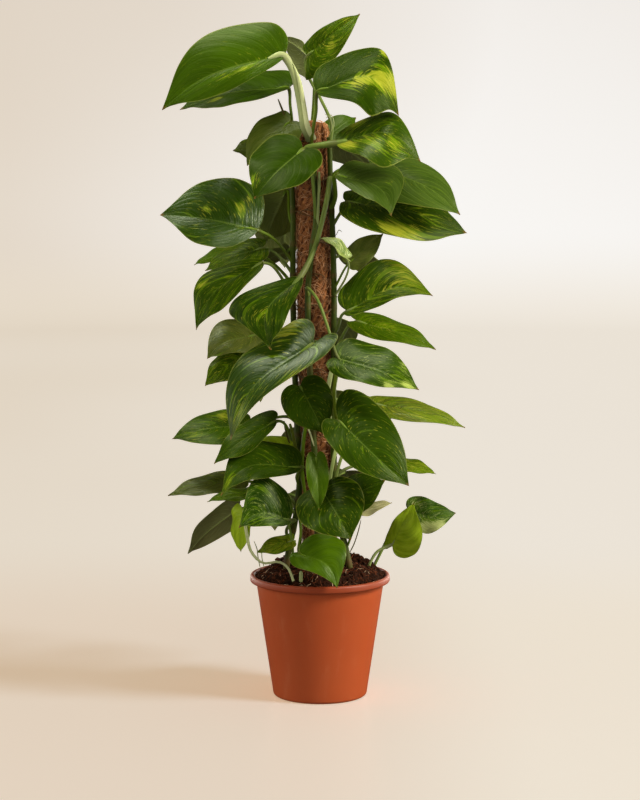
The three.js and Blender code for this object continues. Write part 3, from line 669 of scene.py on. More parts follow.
# Each row is a height, a bearing round the pole in degrees, and a distance from its axis.
STEMS = {
    "stem_front": [
        (92, 262, 52), (150, 262, 50), (200, 265, 44), (250, 268, 35), (300, 266, HUG), (360, 260, HUG),
        (430, 255, HUG), (500, 252, HUG), (560, 254, HUG), (610, 266, HUG), (650, 278, HUG),
        (700, 276, HUG), (750, 268, HUG), (772, 262, HUG + 1),
    ],
    "stem_left": [
        (96, 196, 50), (150, 196, 50), (200, 198, 44), (250, 205, 34), (300, 212, HUG), (360, 205, HUG),
        (430, 196, HUG), (500, 190, HUG), (560, 192, HUG), (610, 200, HUG), (660, 205, HUG),
        (700, 200, HUG), (738, 196, HUG + 1),
    ],
    "stem_right": [
        (94, 332, 54), (150, 330, 52), (200, 326, 44), (250, 322, 34), (300, 320, HUG), (360, 318, HUG),
        (430, 322, HUG), (500, 330, HUG), (560, 334, HUG), (610, 334, HUG), (660, 330, HUG),
        (710, 326, HUG), (758, 322, HUG + 1),
    ],
    "stem_back": [
        (96, 84, 52), (150, 84, 52), (200, 86, 44), (250, 90, 34), (300, 96, HUG), (360, 102, HUG),
        (430, 96, HUG), (500, 88, HUG), (560, 84, HUG), (610, 90, HUG), (660, 98, HUG),
        (710, 96, HUG), (764, 88, HUG + 1),
    ],
}
STEM_LINES = {name: np.array([pole_spot(*row) for row in rows]) for name, rows in STEMS.items()}


def stem_spot(name, z):
    """The middle of a stem at a height."""
    line = smooth_line(STEM_LINES[name], np.linspace(0, 1, 2001))
    return line[np.argmin(abs(line[:, 2] - z))]


# %% [markdown]
# ## Coir
# The pole's sleeve is a mat of coconut fibre: reddish brown strands that lie every way, with pale ones on
# top and painted shade in the gaps between. A bumpy sleeve closes the mat, and some thousands of bent hairs
# lie on it and stand a little out of it. The mesh's tone says how pale a strand is, with a painted highlight
# on the hairs that stand furthest out (red), and how much painted shade it gets, as if it lay down in a gap
# (green).

# %% The coir's finish
coir_fibre = Finish("coir_fibre", Roughness=0.78)
pale_strand_and_highlight, gap, *_ = coir_fibre.tones()
fleck = coir_fibre.noise(coir_fibre.place(), 420, 3, 0.6)
husk = coir_fibre.mix(fleck, "#8c4a22", "#c98a54")
husk = coir_fibre.mix(pale_strand_and_highlight, husk, "#e0b48c")
# Painted shade: the gaps are painted a dark brown.
husk = coir_fibre.mix(gap, husk, "#381a0c")
coir_fibre.wire(coir_fibre.shader, {
    "Base Color": husk,
    "Specular IOR Level": 0.12,
    "Normal": coir_fibre.bump(fleck, 0.0004, 0.7),
})


# %% The sleeve and its hairs
def tousle(a, z):
    """Broad soft lumps of the mat, by the bearing and the height."""
    return 0.7 * np.sin(3 * a + z / 23) + 0.6 * np.sin(5 * a - z / 11 + 1)


def coir_radius(a, z):
    """How far the mat reaches from the pole's axis. Its top is rounded off."""
    top = np.clip((z - (POLE_TOP - 16)) / 17, 0, 1)
    return (POLE_R - 0.9 + 0.6 * tousle(a, z)) * np.sqrt(np.clip(1 - 0.92 * top**2.6, 0.0, 1))


def coir_sleeve():
    piece, turn, share = flat_grid("coir_sleeve", 72, 190)
    z = POLE_FOOT + (POLE_TOP - POLE_FOOT) * share**0.96
    a = math.tau * turn
    lumps = 0.45 * np.sin(11 * a + z / 3.1) * np.sin(z / 2.3 - 4 * a) + 0.3 * np.sin(17 * a - z / 1.7)
    r = np.where((share < 1e-6) | (share > 1 - 1e-6), 0, coir_radius(a, z) - 1.3 + lumps)
    move_points(piece, np.stack([pole_x(z) + r * np.cos(a), r * np.sin(a), z], 1) * MM)
    tone = np.zeros((len(z), 4))
    # Painted shade in the sleeve's hollows: the lower the lumps, the darker.
    tone[:, 1] = np.clip(0.55 - 0.9 * lumps, 0, 1)
    set_tone(piece, tone)
    piece.data.materials.append(coir_fibre.material)
    in_edit_mode(piece, lambda: merge_points(1e-5), face_outwards)
    return piece


def coir_hairs(rng, count=4600, rows=6):
    """Bent hairs that lie every way round the pole, each highest in its middle."""
    z = rng.uniform(SOIL_EDGE + 4, POLE_TOP - 2, count)
    a = rng.uniform(0, math.tau, count)
    lie = rng.uniform(0, math.pi, count)
    long = rng.uniform(6, 24, count)
    curl = rng.normal(0, 1.5, count)
    lift = np.abs(rng.normal(0, 1.5, count)) + 0.1
    t = np.linspace(-0.5, 0.5, rows)
    heading = lie[:, None] + curl[:, None] * t[None]
    step = long[:, None] / (rows - 1)
    round_way = np.cumsum(np.cos(heading) * step, axis=1)
    up_way = np.cumsum(np.sin(heading) * step, axis=1)
    round_way -= round_way.mean(1, keepdims=True)
    up_way -= up_way.mean(1, keepdims=True)
    height = np.clip(z[:, None] + up_way, SOIL_EDGE, POLE_TOP + 0.4)
    bearing = a[:, None] + round_way / POLE_R
    bow = lift[:, None] * (1 - (2 * t[None]) ** 2)
    out = coir_radius(bearing, height) - 0.5 + bow + rng.normal(0, 0.25, (count, rows))
    out = np.minimum(out, POLE_R + 2.8)
    lines = np.stack([pole_x(height) + out * np.cos(bearing), out * np.sin(bearing), height], -1)
    tone = np.zeros((count, 4))
    # Pale strands at random, and a painted highlight on hairs that bow far out.
    tone[:, 0] = np.clip(rng.beta(0.9, 2.4, count) + 0.2 * (lift > 1.2), 0, 1)
    # Painted shade on some hairs, at random, as if they lay lower in the mat.
    tone[:, 1] = np.clip(rng.normal(0.05, 0.3, count), 0, 0.8)
    return hairs("coir_hairs", lines, rng.uniform(0.2, 0.46, count), coir_fibre.material, tone)


rng = np.random.default_rng(7)
pole = join("pole_sleeve", [coir_sleeve(), coir_hairs(rng)])
finish_piece(pole, "pole_coir", 50)
print("pole", len(pole.data.polygons), "faces")

# %% [markdown]
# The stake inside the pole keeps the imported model's shape, which only its pointed foot and flat
# top show. It is plain softwood, with grain along it.

# %% The stake's wood
softwood = Finish("stake_wood", Roughness=0.7)
rings = softwood.noise(softwood.place((90, 90, 4)), 3, 4, 0.6, 0.4)
softwood.wire(softwood.shader, {
    "Base Color": softwood.mix(rings, "#8a6238", "#c79f6c"),
    "Normal": softwood.bump(rings, 0.0002, 0.5),
})
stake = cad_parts["pole_stake"]
stake.data.materials.clear()
stake.data.materials.append(softwood.material)

# %% [markdown]
# ## Peat
# The pot is filled to the rim and heaped round the stems. A grid that is wrapped round the pot's
# axis and made lumpy gives the heap. On it lie crumbs of peat, chips of bark and short reddish
# fibres, a few of them pale, which are what makes peat look like peat from a step away. The mesh's
# tone says how much like bark (red) and how pale (green) a crumb or fibre is.

# %% The peat's finish
peat = Finish("peat", Roughness=0.88)
bark, pale_fibre, *_ = peat.tones()
speck = peat.noise(peat.place(), 260, 5, 0.65)
earth = peat.mix(speck, "#120602", "#32180a")
earth = peat.mix(bark, earth, "#84462a")
earth = peat.mix(pale_fibre, earth, "#c8a888")
peat.wire(peat.shader, {
    "Base Color": earth,
    "Specular IOR Level": 0.12,
    "Normal": peat.bump(speck, 0.0012, 0.9),
})


# %% The heap, and what lies on it
SOIL_R, HEAP_R, HEAP_SLOPE = 87.6, 86.0, 34.0


def soil_lump(a, r):
    """Broad soft lumps of the heap, by the bearing and the radius."""
    return 1.6 * np.sin(3 * a + r / 9) + 1.3 * np.sin(5 * a - r / 7 + 1) + 0.9 * np.sin(8 * a + r / 5)


def soil_height(a, r):
    """The heap rises from HEAP_R inward, within HEAP_SLOPE, and a little more at the back."""
    heap = np.clip((HEAP_R - r) / HEAP_SLOPE, 0, 1)
    back = 4 * np.sin(a) + 2 * np.cos(a)
    rise = (SOIL_TOP - SOIL_EDGE + back) * heap * (2 - heap) + soil_lump(a, r) * np.minimum(1, heap * 3)
    return SOIL_EDGE + rise


def soil_heap():
    """The heap's top, and under it a few rows down the inside of the pot to its floor."""
    rows, below = 44, 4
    piece, turn, share = flat_grid("soil_heap", 132, rows + below)
    k = np.rint(share * (rows + below)).astype(int)
    a = math.tau * turn
    r = SOIL_R * (1 - np.clip((k - below) / rows, 0, 1)) ** 0.9
    fine = 0.9 * np.sin(23 * a + r) * np.sin(r / 1.9 + 5 * a) + 0.7 * np.sin(41 * a - r * 1.3)
    z = soil_height(a, r) + fine * np.clip(r / 20, 0, 1) * np.clip((90 - r) / 6, 0.2, 1)
    inside = wall_r(np.array([8, 8, 60, 150])) - WALL - 0.6
    depth = np.array([6.0, 9.0, 60.0, 150.0])
    side, row = k < below, np.minimum(k, below - 1)
    r = np.where(side, np.where(k == 0, 0, inside[row]), r)
    z = np.where(side, depth[row], z)
    move_points(piece, np.stack([r * np.cos(a), r * np.sin(a), z], 1) * MM)
    set_tone(piece, (0.0, 0, 0, 0))
    piece.data.materials.append(peat.material)
    in_edit_mode(piece, lambda: merge_points(1e-5), face_outwards)
    return piece


# %% Crumbs and fibres
def on_the_heap(rng, count):
    """Spots spread evenly over the heap."""
    r = (SOIL_R - 0.1) * np.sqrt(rng.uniform(0, 1, count))
    a = rng.uniform(0, math.tau, count)
    return np.stack([r * np.cos(a), r * np.sin(a), soil_height(a, r)], 1)


def peat_crumbs(rng, count, low, high, brightest):
    """Crumbs with half widths between low and high, most dark and some as pale as brightest."""
    places = on_the_heap(rng, count)
    sizes = rng.uniform(low, high, (count, 1)) * rng.uniform(0.55, 1.25, (count, 3))
    tone = np.zeros((count, 4))
    tone[:, 0] = rng.beta(0.8, 3.0, count) * brightest
    return crumbs("peat_crumbs", places, sizes, peat.material, tone, rng)


def peat_fibres(rng, count=640, rows=5):
    """Short bent fibres that lie on the heap, about one in eight of them pale."""
    start = on_the_heap(rng, count)
    heading = rng.uniform(0, math.tau, count)[:, None]
    heading = heading + rng.normal(0, 0.9, (count, 1)) * np.linspace(0, 1, rows)
    step = rng.uniform(1.0, 4.2, (count, 1))
    x = start[:, :1] + np.cumsum(np.cos(heading) * step, 1)
    y = start[:, 1:2] + np.cumsum(np.sin(heading) * step, 1)
    r = np.hypot(x, y)
    pull = np.minimum(1, (SOIL_R + 0.9) / np.maximum(r, 1))
    x, y, r = x * pull, y * pull, r * pull
    z = soil_height(np.arctan2(y, x), r) + rng.uniform(0.4, 2.0, (count, 1))
    z = z + rng.normal(0, 0.5, (count, rows))
    tone = np.zeros((count, 4))
    tone[:, 0] = rng.uniform(0.25, 1.3, count)
    tone[:, 1] = rng.uniform(0, 1, count) < 0.12
    return hairs("peat_fibres", np.stack([x, y, z], -1), rng.uniform(0.18, 0.42, count), peat.material, tone)


rng = np.random.default_rng(19)
small, large = peat_crumbs(rng, 2300, 0.7, 2.4, 0.4), peat_crumbs(rng, 160, 2.6, 4.6, 0.3)
soil = join("soil_heap", [soil_heap(), small, large, peat_fibres(rng)])
finish_piece(soil, "soil", 40)
print("soil", len(soil.data.polygons), "faces")

# %% [markdown]
# ## Leaf, from above
# The upper side is a waxy green with a soft gloss. Pale veins run from the midrib and bend to the
# tip, the blade bulges softly between them, and some leaves are marked with lime and cream. Those
# marks run along the veins, so they need a pattern that follows the blade: each leaf's UV map goes
# from 0 to 1 across the blade, and counts the veins along it. A pattern stretched on that map
# bends with the veins by itself. The mesh's own colour, "tone", says how lime the leaf is (red), which on
# some leaves in shadow is raised as painted light, how much cream it has at each spot (green), how much
# darker its green is made (blue), partly as the leaf's own darker green and partly as painted shade for
# leaves that lie in shadow, and how near the tip the spot lies (alpha). The skins are one finish with other
# greens and more or less gloss.

# %% What the blade's two sides share
class BladeFinish(Finish):
    """A finish that knows the blade's map and the mesh's tones."""

    def __init__(self, name):
        super().__init__(name)
        spot = self.add("SeparateXYZ", {"Vector": self.add("UVMap", uv_map="UVMap")}).node
        doubled = {0: spot.outputs[0], 1: 2.0, 2: -1.0}
        self.across = self.add("Math", doubled, operation="MULTIPLY_ADD")  # from -1 to 1
        self.veins = spot.outputs[1]
        self.from_vein = self.maths("PINGPONG", self.veins, 0.5)
        self.from_midrib = self.maths("ABSOLUTE", self.across)
        self.lime, self.cream, self.deep, self.along = self.tones()

    def pattern(self, across, along, detail=3.0, rough=0.5, bend=0.0):
        """A noise that follows the veins, repeated so often across the blade and along it."""
        spot = {"X": self.times(self.across, across), "Y": self.times(self.veins, along)}
        return self.noise(self.add("CombineXYZ", spot), 1.0, detail, rough, bend)

    def marks(self):
        """Marks that follow the veins: a soft lime wash, and over it crisp streaks and flecks."""
        wash = self.plus(self.pattern(1.3, 1.3, 3, 0.55, 0.4), self.times(self.cream, 0.34))
        streak = self.plus(self.pattern(2.6, 2.4, 5, 0.66, 0.5), self.times(self.cream, 0.26))
        fleck = self.plus(self.pattern(7.0, 6.0, 2), self.times(self.cream, 0.16))
        crisp = self.maths("MAXIMUM", self.ramp(streak, 0.68, 0.79), self.ramp(fleck, 0.655, 0.71, 0, 0.65))
        some = self.ramp(self.cream, 0.0, 0.1)
        return self.times(self.ramp(wash, 0.62, 0.77), some), self.times(crisp, some)


# %% The upper side
def leaf_top_colour(leaf, dark, mid, lines, marks):
    """The greens, the veins, the marks, and then the midrib, the thin edge and the dry tip."""
    green = leaf.mix(leaf.ramp(leaf.pattern(1.6, 0.5), 0.3, 0.7), dark, mid)
    green = leaf.mix(leaf.lime, green, "#4a6604")
    # Darker green by deep: partly the leaf's own darker green, partly painted shade.
    green = leaf.mix(leaf.deep, green, "#142301")
    ribs = leaf.ramp(leaf.from_vein, 0.0, 0.12, 1, 0)
    green = leaf.mix(leaf.times(ribs, lines), green, "#5d7426")
    washed, marked = leaf.marks()
    skin = leaf.mix(leaf.times(washed, 0.55), green, "#627f06")
    pale = leaf.mix(leaf.pattern(3.0, 4.0, 2), *marks)
    skin = leaf.mix(leaf.times(marked, 0.85), skin, pale)
    skin = leaf.mix(leaf.ramp(leaf.from_midrib, 0.008, 0.03, 0.28, 0), skin, "#6c8230")
    skin = leaf.mix(leaf.ramp(leaf.from_midrib, 0.97, 0.99, 0, 0.5), skin, "#7b8034")
    return leaf.mix(leaf.ramp(leaf.along, 0.955, 0.99, 0, 0.8), skin, "#6b4a24")


# %% The skins
def leaf_top_finish(name, dark, mid, gloss, lines=0.06, marks=("#748408", "#aaa338")):
    """dark and mid are the two greens, lines how much the veins show, marks the marks' colours."""
    leaf = BladeFinish(name)
    puff = leaf.ramp(leaf.from_vein, 0.0, 0.3)
    fine = leaf.maths("PINGPONG", leaf.times(leaf.veins, 3.0), 0.5)
    wrinkle = leaf.pattern(2.4, 4.2, 3, 0.6, 0.5)
    pores = leaf.pattern(30.0, 26.0, 2)
    height = leaf.plus(leaf.times(puff, 0.22), leaf.times(fine, 0.12))
    height = leaf.plus(leaf.plus(height, wrinkle), leaf.times(pores, 0.08))
    leaf.wire(leaf.shader, {
        "Base Color": leaf_top_colour(leaf, dark, mid, lines, marks),
        "Roughness": leaf.ramp(wrinkle, 0.25, 0.75, 0.24, 0.36),
        "Specular IOR Level": gloss,
        "Specular Tint": (0.85, 0.95, min(1, 0.35 + gloss), 1),
        "Sheen Weight": 0.12,
        "Sheen Roughness": 0.35,
        "Sheen Tint": (0.62, 0.5, 0.3, 1),
        "Normal": leaf.bump(height, 0.0006, 0.5),
    })
    return leaf.material


SKINS = {
    "plain": leaf_top_finish("leaf_top", "#1b2f01", "#2b4302", 0.14),
    "matt": leaf_top_finish("leaf_top_matt", "#1a2f01", "#2a4302", 0.05),
    "waxy": leaf_top_finish("leaf_top_waxy", "#142802", "#243d03", 0.4),
    "striped": leaf_top_finish("leaf_top_striped", "#24400a", "#3c5a18", 0.4, marks=("#8c9c40", "#cdd092")),
    "flecked": leaf_top_finish("leaf_top_flecked", "#1a3202", "#2c4804", 0.2, marks=("#809230", "#b6c06a")),
    "dusty": leaf_top_finish("leaf_top_dusty", "#27390e", "#3a4b1a", 0.16, 0.35),
    "olive": leaf_top_finish("leaf_top_olive", "#3b4016", "#555626", 0.3),
    "fresh": leaf_top_finish("leaf_top_fresh", "#345002", "#4a6804", 0.25),
    # The lime skin is a young leaf's light green, painted brighter still as painted light for the light that
    # shines through it.
    "lime": leaf_top_finish("leaf_top_lime", "#839c10", "#a6bf28", 0.25),
    "straw": leaf_top_finish("leaf_top_straw", "#8d8a58", "#b5ae82", 0.2),
}
print(len(SKINS), "skins, the plain one of", len(SKINS["plain"].node_tree.nodes), "nodes")

# %% [markdown]
# ## Leaf, from below, and its stalk
# The underside is paler, greyer and matt, with veins that stand out. The stalk is a smooth green,
# browner where it leaves the stem and where it swells below the blade. Its mesh's tone says how
# lime (red), how pale (green) and how brown (blue) it is. A stem's tone says how barky it is (red).

# %% The underside
def leaf_under_finish():
    leaf = BladeFinish("leaf_under")
    mottle = leaf.pattern(1.6, 0.5)
    green = leaf.mix(mottle, "#60642e", "#7a7b4c")
    green = leaf.mix(leaf.lime, green, "#7f9a24")
    # Darker by deep, as on the upper side: partly a darker leaf, partly painted shade.
    green = leaf.mix(leaf.deep, green, "#454a22")
    washed, marked = leaf.marks()
    skin = leaf.mix(leaf.times(washed, 0.4), green, "#98a246")
    skin = leaf.mix(leaf.times(marked, 0.4), skin, "#b3ad62")
    ribs = leaf.ramp(leaf.from_vein, 0.0, 0.12, 1, 0)
    skin = leaf.mix(leaf.times(ribs, 0.35), skin, "#8d9456")
    skin = leaf.mix(leaf.ramp(leaf.from_midrib, 0.02, 0.06, 0.7, 0), skin, "#98a65c")
    fine = leaf.maths("PINGPONG", leaf.times(leaf.veins, 3.0), 0.5)
    height = leaf.maths("SUBTRACT", ribs, leaf.times(fine, 0.6))
    leaf.wire(leaf.shader, {
        "Base Color": skin,
        "Roughness": leaf.ramp(mottle, 0.2, 0.8, 0.46, 0.56),
        "Specular IOR Level": 0.35,
        "Normal": leaf.bump(height, 0.0006, 0.6),
    })
    return leaf.material


# %% The stalks and the stems
def stalk_finish():
    stalk = Finish("stalk", Roughness=0.4)
    lime, pale, brown, _ = stalk.tones()
    streaks = stalk.noise(stalk.place((60, 60, 9)), 4, 3, 0.6)
    green = stalk.mix(streaks, "#2e4604", "#52720c")
    green = stalk.mix(lime, green, "#738f1c")
    green = stalk.mix(brown, green, "#4a4218")
    stalk.wire(stalk.shader, {
        "Base Color": stalk.mix(pale, green, "#d2d4a0"),
        "Specular IOR Level": 0.14,
        "Normal": stalk.bump(streaks, 0.0003, 0.4),
    })
    return stalk.material


def stem_finish():
    stem = Finish("stem", Roughness=0.5)
    bark = stem.tones()[0]
    streaks = stem.noise(stem.place((50, 50, 7)), 5, 4, 0.6)
    green = stem.mix(streaks, "#2a370a", "#4f5e1a")
    scars = stem.noise(stem.place((1, 1, 0.5)), 190, 3, 0.7)
    green = stem.mix(stem.ramp(scars, 0.6, 0.72, 0, 0.55), green, "#7c6a42")
    stem.wire(stem.shader, {
        "Base Color": stem.mix(bark, green, "#63452a"),
        "Specular IOR Level": 0.22,
        "Normal": stem.bump(streaks, 0.0004, 0.6),
    })
    return stem.material


leaf_under, stalk_green, stem_green = leaf_under_finish(), stalk_finish(), stem_finish()

# %% [markdown]
# ## The shape of a blade
# Every leaf is one heart-shaped outline, stretched, bowed, folded and waved in its own way. The
# outline is a short list of points. A blade starts as one flat grid: its rows run from the midrib
# to the rim and fan out into the two lobes, so a heart needs no cut. One grid is modelled, and
# each leaf is a copy of it with its points moved by the formula.

# %% The outline, and a leaf's habit
# Shares of the length and of the half width, from the notch round one lobe to the tip.
EDGE = [
    (0, 0), (-0.08, 0.2), (-0.1, 0.46), (-0.045, 0.74), (0.08, 0.93), (0.25, 1.0), (0.43, 0.96),
    (0.6, 0.81), (0.75, 0.57), (0.87, 0.29), (0.94, 0.12), (1, 0),
]
# The usual habit, which a leaf's row may change. arch bows the midrib, fold lifts the two halves,
# cup lowers their rims, and wave ripples those by so many millimetres. twist turns the blade by so
# many degrees up to its tip, and sweep bends it sideways. lobe is how far the lobes reach back, lop
# how much wider one half is, and wedge how far each half is pushed to the tip. stalk is the stalk's
# radius, lift how it rises from the stem, and reach how it comes in behind the blade. The leaves'
# own cell tells the rest.
HABIT = dict(
    arch=0.07, fold=0.2, cup=0.26, wave=2.2, twist=0, sweep=0, lobe=1, lop=0, wedge=(0, 0), stalk=2.3,
    lift=0.32, reach=0.3, lime=0.15, cream=0.1, deep=0.0, spots=(), via=None, ribs=1, skin="plain",
    girth=1, pale=0, sheath=None,
)
BLADE = 0.8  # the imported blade's thickness
VEINS = 11  # on each side of the midrib
BLADE_COLUMNS, BLADE_ROWS = 24, 56


def blade_spot(leaf, share, w):
    """Where a spot of the blade lies, from its shares of the length and of the half width."""
    size = abs(w)
    s = share + np.where(w > 0, *leaf["wedge"]) * size * (1 - share)
    v = np.clip(s, 0, 1)
    half = leaf["width"] / 2 * (1 + leaf["lop"] * np.sign(w))
    bow = np.sin(math.pi * v**1.25)
    across = w * half + leaf["sweep"] * leaf["length"] * bow
    rise = leaf["arch"] * leaf["length"] * np.where(s < 0, 2 * s, bow)
    rise = rise + leaf["fold"] * size * half - leaf["cup"] * size**2 * half
    ripple = 2 * math.pi * 1.6 * s + leaf["phase"] + np.where(w > 0, 0, 2.1)
    rise = rise + leaf["wave"] * size**2 * np.sin(ripple)
    turn = math.radians(leaf["twist"]) * v
    across, rise = across * np.cos(turn) - rise * np.sin(turn), across * np.sin(turn) + rise * np.cos(turn)
    parts = ((s * leaf["length"], "along"), (across, "side"), (rise, "top"))
    return leaf["knee_spot"] + sum(np.asarray(size)[..., None] * leaf[way] for size, way in parts)


# %% The veins and the relief
def vein_count(u, t):
    """Counts the veins: whole numbers lie on a vein. They start on the midrib and bend forward."""
    return VEINS * (u - 0.42 * abs(t) ** 1.25)


def blade_relief(leaf, u, t):
    """The fine height of the upper side: soft bulges between the veins and a sunk midrib."""
    size = abs(t)
    puff = np.sin(math.pi * vein_count(u, t)) ** 2
    calm = np.clip(u * 6, 0, 1) * np.clip((1 - u) * 5, 0, 1) * np.clip(size * 5, 0, 1) * (1 - 0.5 * size)
    ripple = 0.7 * size**3 * np.sin(2 * math.pi * 4.3 * u + 2.3 * leaf["phase"] + np.where(t > 0, 0, 1.3))
    groove = -0.7 * np.exp(-((size / 0.05) ** 2)) * (1 - u)
    return 0.17 * leaf["ribs"] * puff * calm * leaf["width"] / 80 + ripple + groove


# %% One grid for every blade, and its copies
blade_master, master_turn, master_share = flat_grid("blade_master", BLADE_COLUMNS, BLADE_ROWS)
blade_t = 1 - 2 * master_turn
blade_u = master_share
rim = smooth_line([(s, w, 0) for s, w in EDGE], blade_u)


def make_blade(leaf, number):
    """A copy of the grid, laid out as this leaf and thickened to a sheet with a stout midrib."""
    pick(blade_master)
    bpy.ops.object.duplicate()
    piece = bpy.context.object
    size = abs(blade_t)
    start = blade_u**1.35
    reach = np.where(rim[:, 0] < 0, rim[:, 0] * leaf["lobe"], rim[:, 0])
    s, w = start + (reach - start) * size, rim[:, 1] * blade_t
    spots = blade_spot(leaf, s, w)
    spots += (blade_relief(leaf, blade_u, blade_t) + BLADE / 2)[:, None] * leaf["top"]
    move_points(piece, spots * MM)
    set_map(piece, (blade_t + 1) / 2, vein_count(blade_u, blade_t) + 10 + 12 * number)
    cream = np.full(len(s), float(leaf["cream"]))
    for along, across, wide, strong in leaf["spots"]:
        near = ((s - along) / wide) ** 2 + ((w - across) / (2.2 * wide)) ** 2
        cream = cream + strong * np.exp(-near)
    tone = np.stack([np.full(len(s), leaf["lime"]), cream, np.full(len(s), leaf["deep"]), blade_u], 1)
    set_tone(piece, tone)
    rib = piece.vertex_groups.new(name="thickness")
    thick = 0.3 + 0.7 * np.exp(-((size / 0.07) ** 2)) * (1 - blade_u) ** 0.7
    for i, weight in enumerate(thick):
        rib.add([i], float(weight), "REPLACE")
    in_edit_mode(piece, merge_points)
    piece.data.materials.append(SKINS[leaf["skin"]])
    piece.data.materials.append(leaf_under)
    sheet = piece.modifiers.new("sheet", "SOLIDIFY")
    sheet.thickness = min(2.6, leaf["stalk"]) * MM
    sheet.offset = -1
    sheet.vertex_group = "thickness"
    sheet.material_offset = 1
    apply_modifiers(piece)
    piece.vertex_groups.clear()
    return piece


# %% The stalk, from the stem to the blade and on under its midrib
def stalk_line(leaf, count):
    """Points along the stalk, and the share of the way at which it meets the blade."""
    def under(s):
        return blade_spot(leaf, np.array(s), np.array(0.0)) - leaf["top"] * leaf["stalk"] * 0.35

    root, knee = leaf["root_spot"], under(0.02)
    gap = np.linalg.norm(root - knee)
    if leaf["via"]:
        line = [root, *[seen(spot) for spot in leaf["via"]], knee]
    else:
        start = root + np.array([0, 0, gap * leaf["lift"]]) + leaf["out"] * gap * 0.22
        back = -leaf["along"] * gap * leaf["reach"] - leaf["top"] * gap * 0.12
        if back[2] > 0.1 * gap:
            back[2] *= 0.3
        end = knee + back
        u = np.array([0, 0.2, 0.45, 0.7, 0.88, 1])[:, None]
        line = (1 - u) ** 3 * root + 3 * u * (1 - u) ** 2 * start + 3 * u * u * (1 - u) * end + u**3 * knee
    line = np.vstack([line, under(0.13)])
    return smooth_line(line, np.linspace(0, 1, count)), 1 - 1 / (len(line) - 1)


def make_stalk(leaf, count=26):
    """The stalk is stout at its foot, swells below the blade and thins out under the midrib."""
    line, knee_at = stalk_line(leaf, count)
    share = np.linspace(0, 1, count)
    taper = np.interp(share, [0, 0.06, 0.25, 0.7, 0.9, 1], [1.3, 1.12, 0.98, 0.9, 0.86, 0.45])
    wrist = np.exp(-(((share - knee_at + 0.05) / 0.08) ** 2))
    radius = leaf["stalk"] * leaf["girth"] * taper * (1 + 0.3 * wrist)
    tone = np.zeros((count, 4))
    tone[:, 0] = np.clip(0.3 + 0.5 * leaf["lime"] - 0.3 * wrist, 0, 1)
    tone[:, 1] = 0.35 * leaf["cream"] + leaf["pale"]
    # Browner at the foot and the wrist, and browner by the leaf's deep too: painted shade on the stalks of
    # shaded leaves.
    tone[:, 2] = np.clip(0.25 * (1 - share) + 0.45 * wrist + 0.3 * leaf["deep"], 0, 1)
    side = np.cross(leaf["out"], line[1] - line[0])
    stalk = [tube("stalk", line, radius, 10, stalk_green, tone, side, 0.22)]
    if leaf["sheath"]:
        stalk.append(make_sheath(leaf, line, radius))
    return stalk


def make_sheath(leaf, line, radius):
    """The pale wing that clasps the lower part of a stalk: a second, flatter tube at its side."""
    start, end, shift = leaf["sheath"]
    rows = slice(int(start * len(line)), int(end * len(line)))
    share = np.linspace(0, 1, len(line[rows]))
    wing = line[rows] + np.array([shift, -0.6 * abs(shift), 0]) * radius[rows, None]
    tone = np.stack([0.8 + 0 * share, 1.0 - 0.4 * share, 0 * share, 0 * share], 1)
    thick = radius[rows] * 0.8 * np.interp(share, [0, 0.1, 0.8, 1], [0.5, 1, 0.8, 0.15])
    return tube("sheath", wing, thick, 8, stalk_green, tone, (1, 0, 0), 0.3)


# %% [markdown]
# ## The leaves
# The table gives each leaf its place, and only what differs from the usual habit is written. A row starts
# with the stem, the height at which the stalk leaves it, and the leaf's name. A shoot has its root in the
# soil instead. knee and tip are where the blade starts and ends: the spot in the photograph and the depth
# behind the pot's axis. face is the way its upper side looks, and via holds spots that the stalk passes. The
# last entries are its look: lime, which on some leaves in shadow also stands in as painted light, cream, and
# deep, which darkens the green, partly as the leaf's own darker green and partly as painted shade, the skin,
# how much the ribs bulge, the look of the stalk as girth, pale and sheath, and spots of cream as (along,
# across, size, strength) on the blade.

# %% The leaves that the photograph shows
def leaf_on(stem, z, name, **look):
    """A row for a leaf whose stalk leaves a stem at the height z."""
    return dict(name="leaf_" + name, stem="stem_" + stem, z=z, **look)


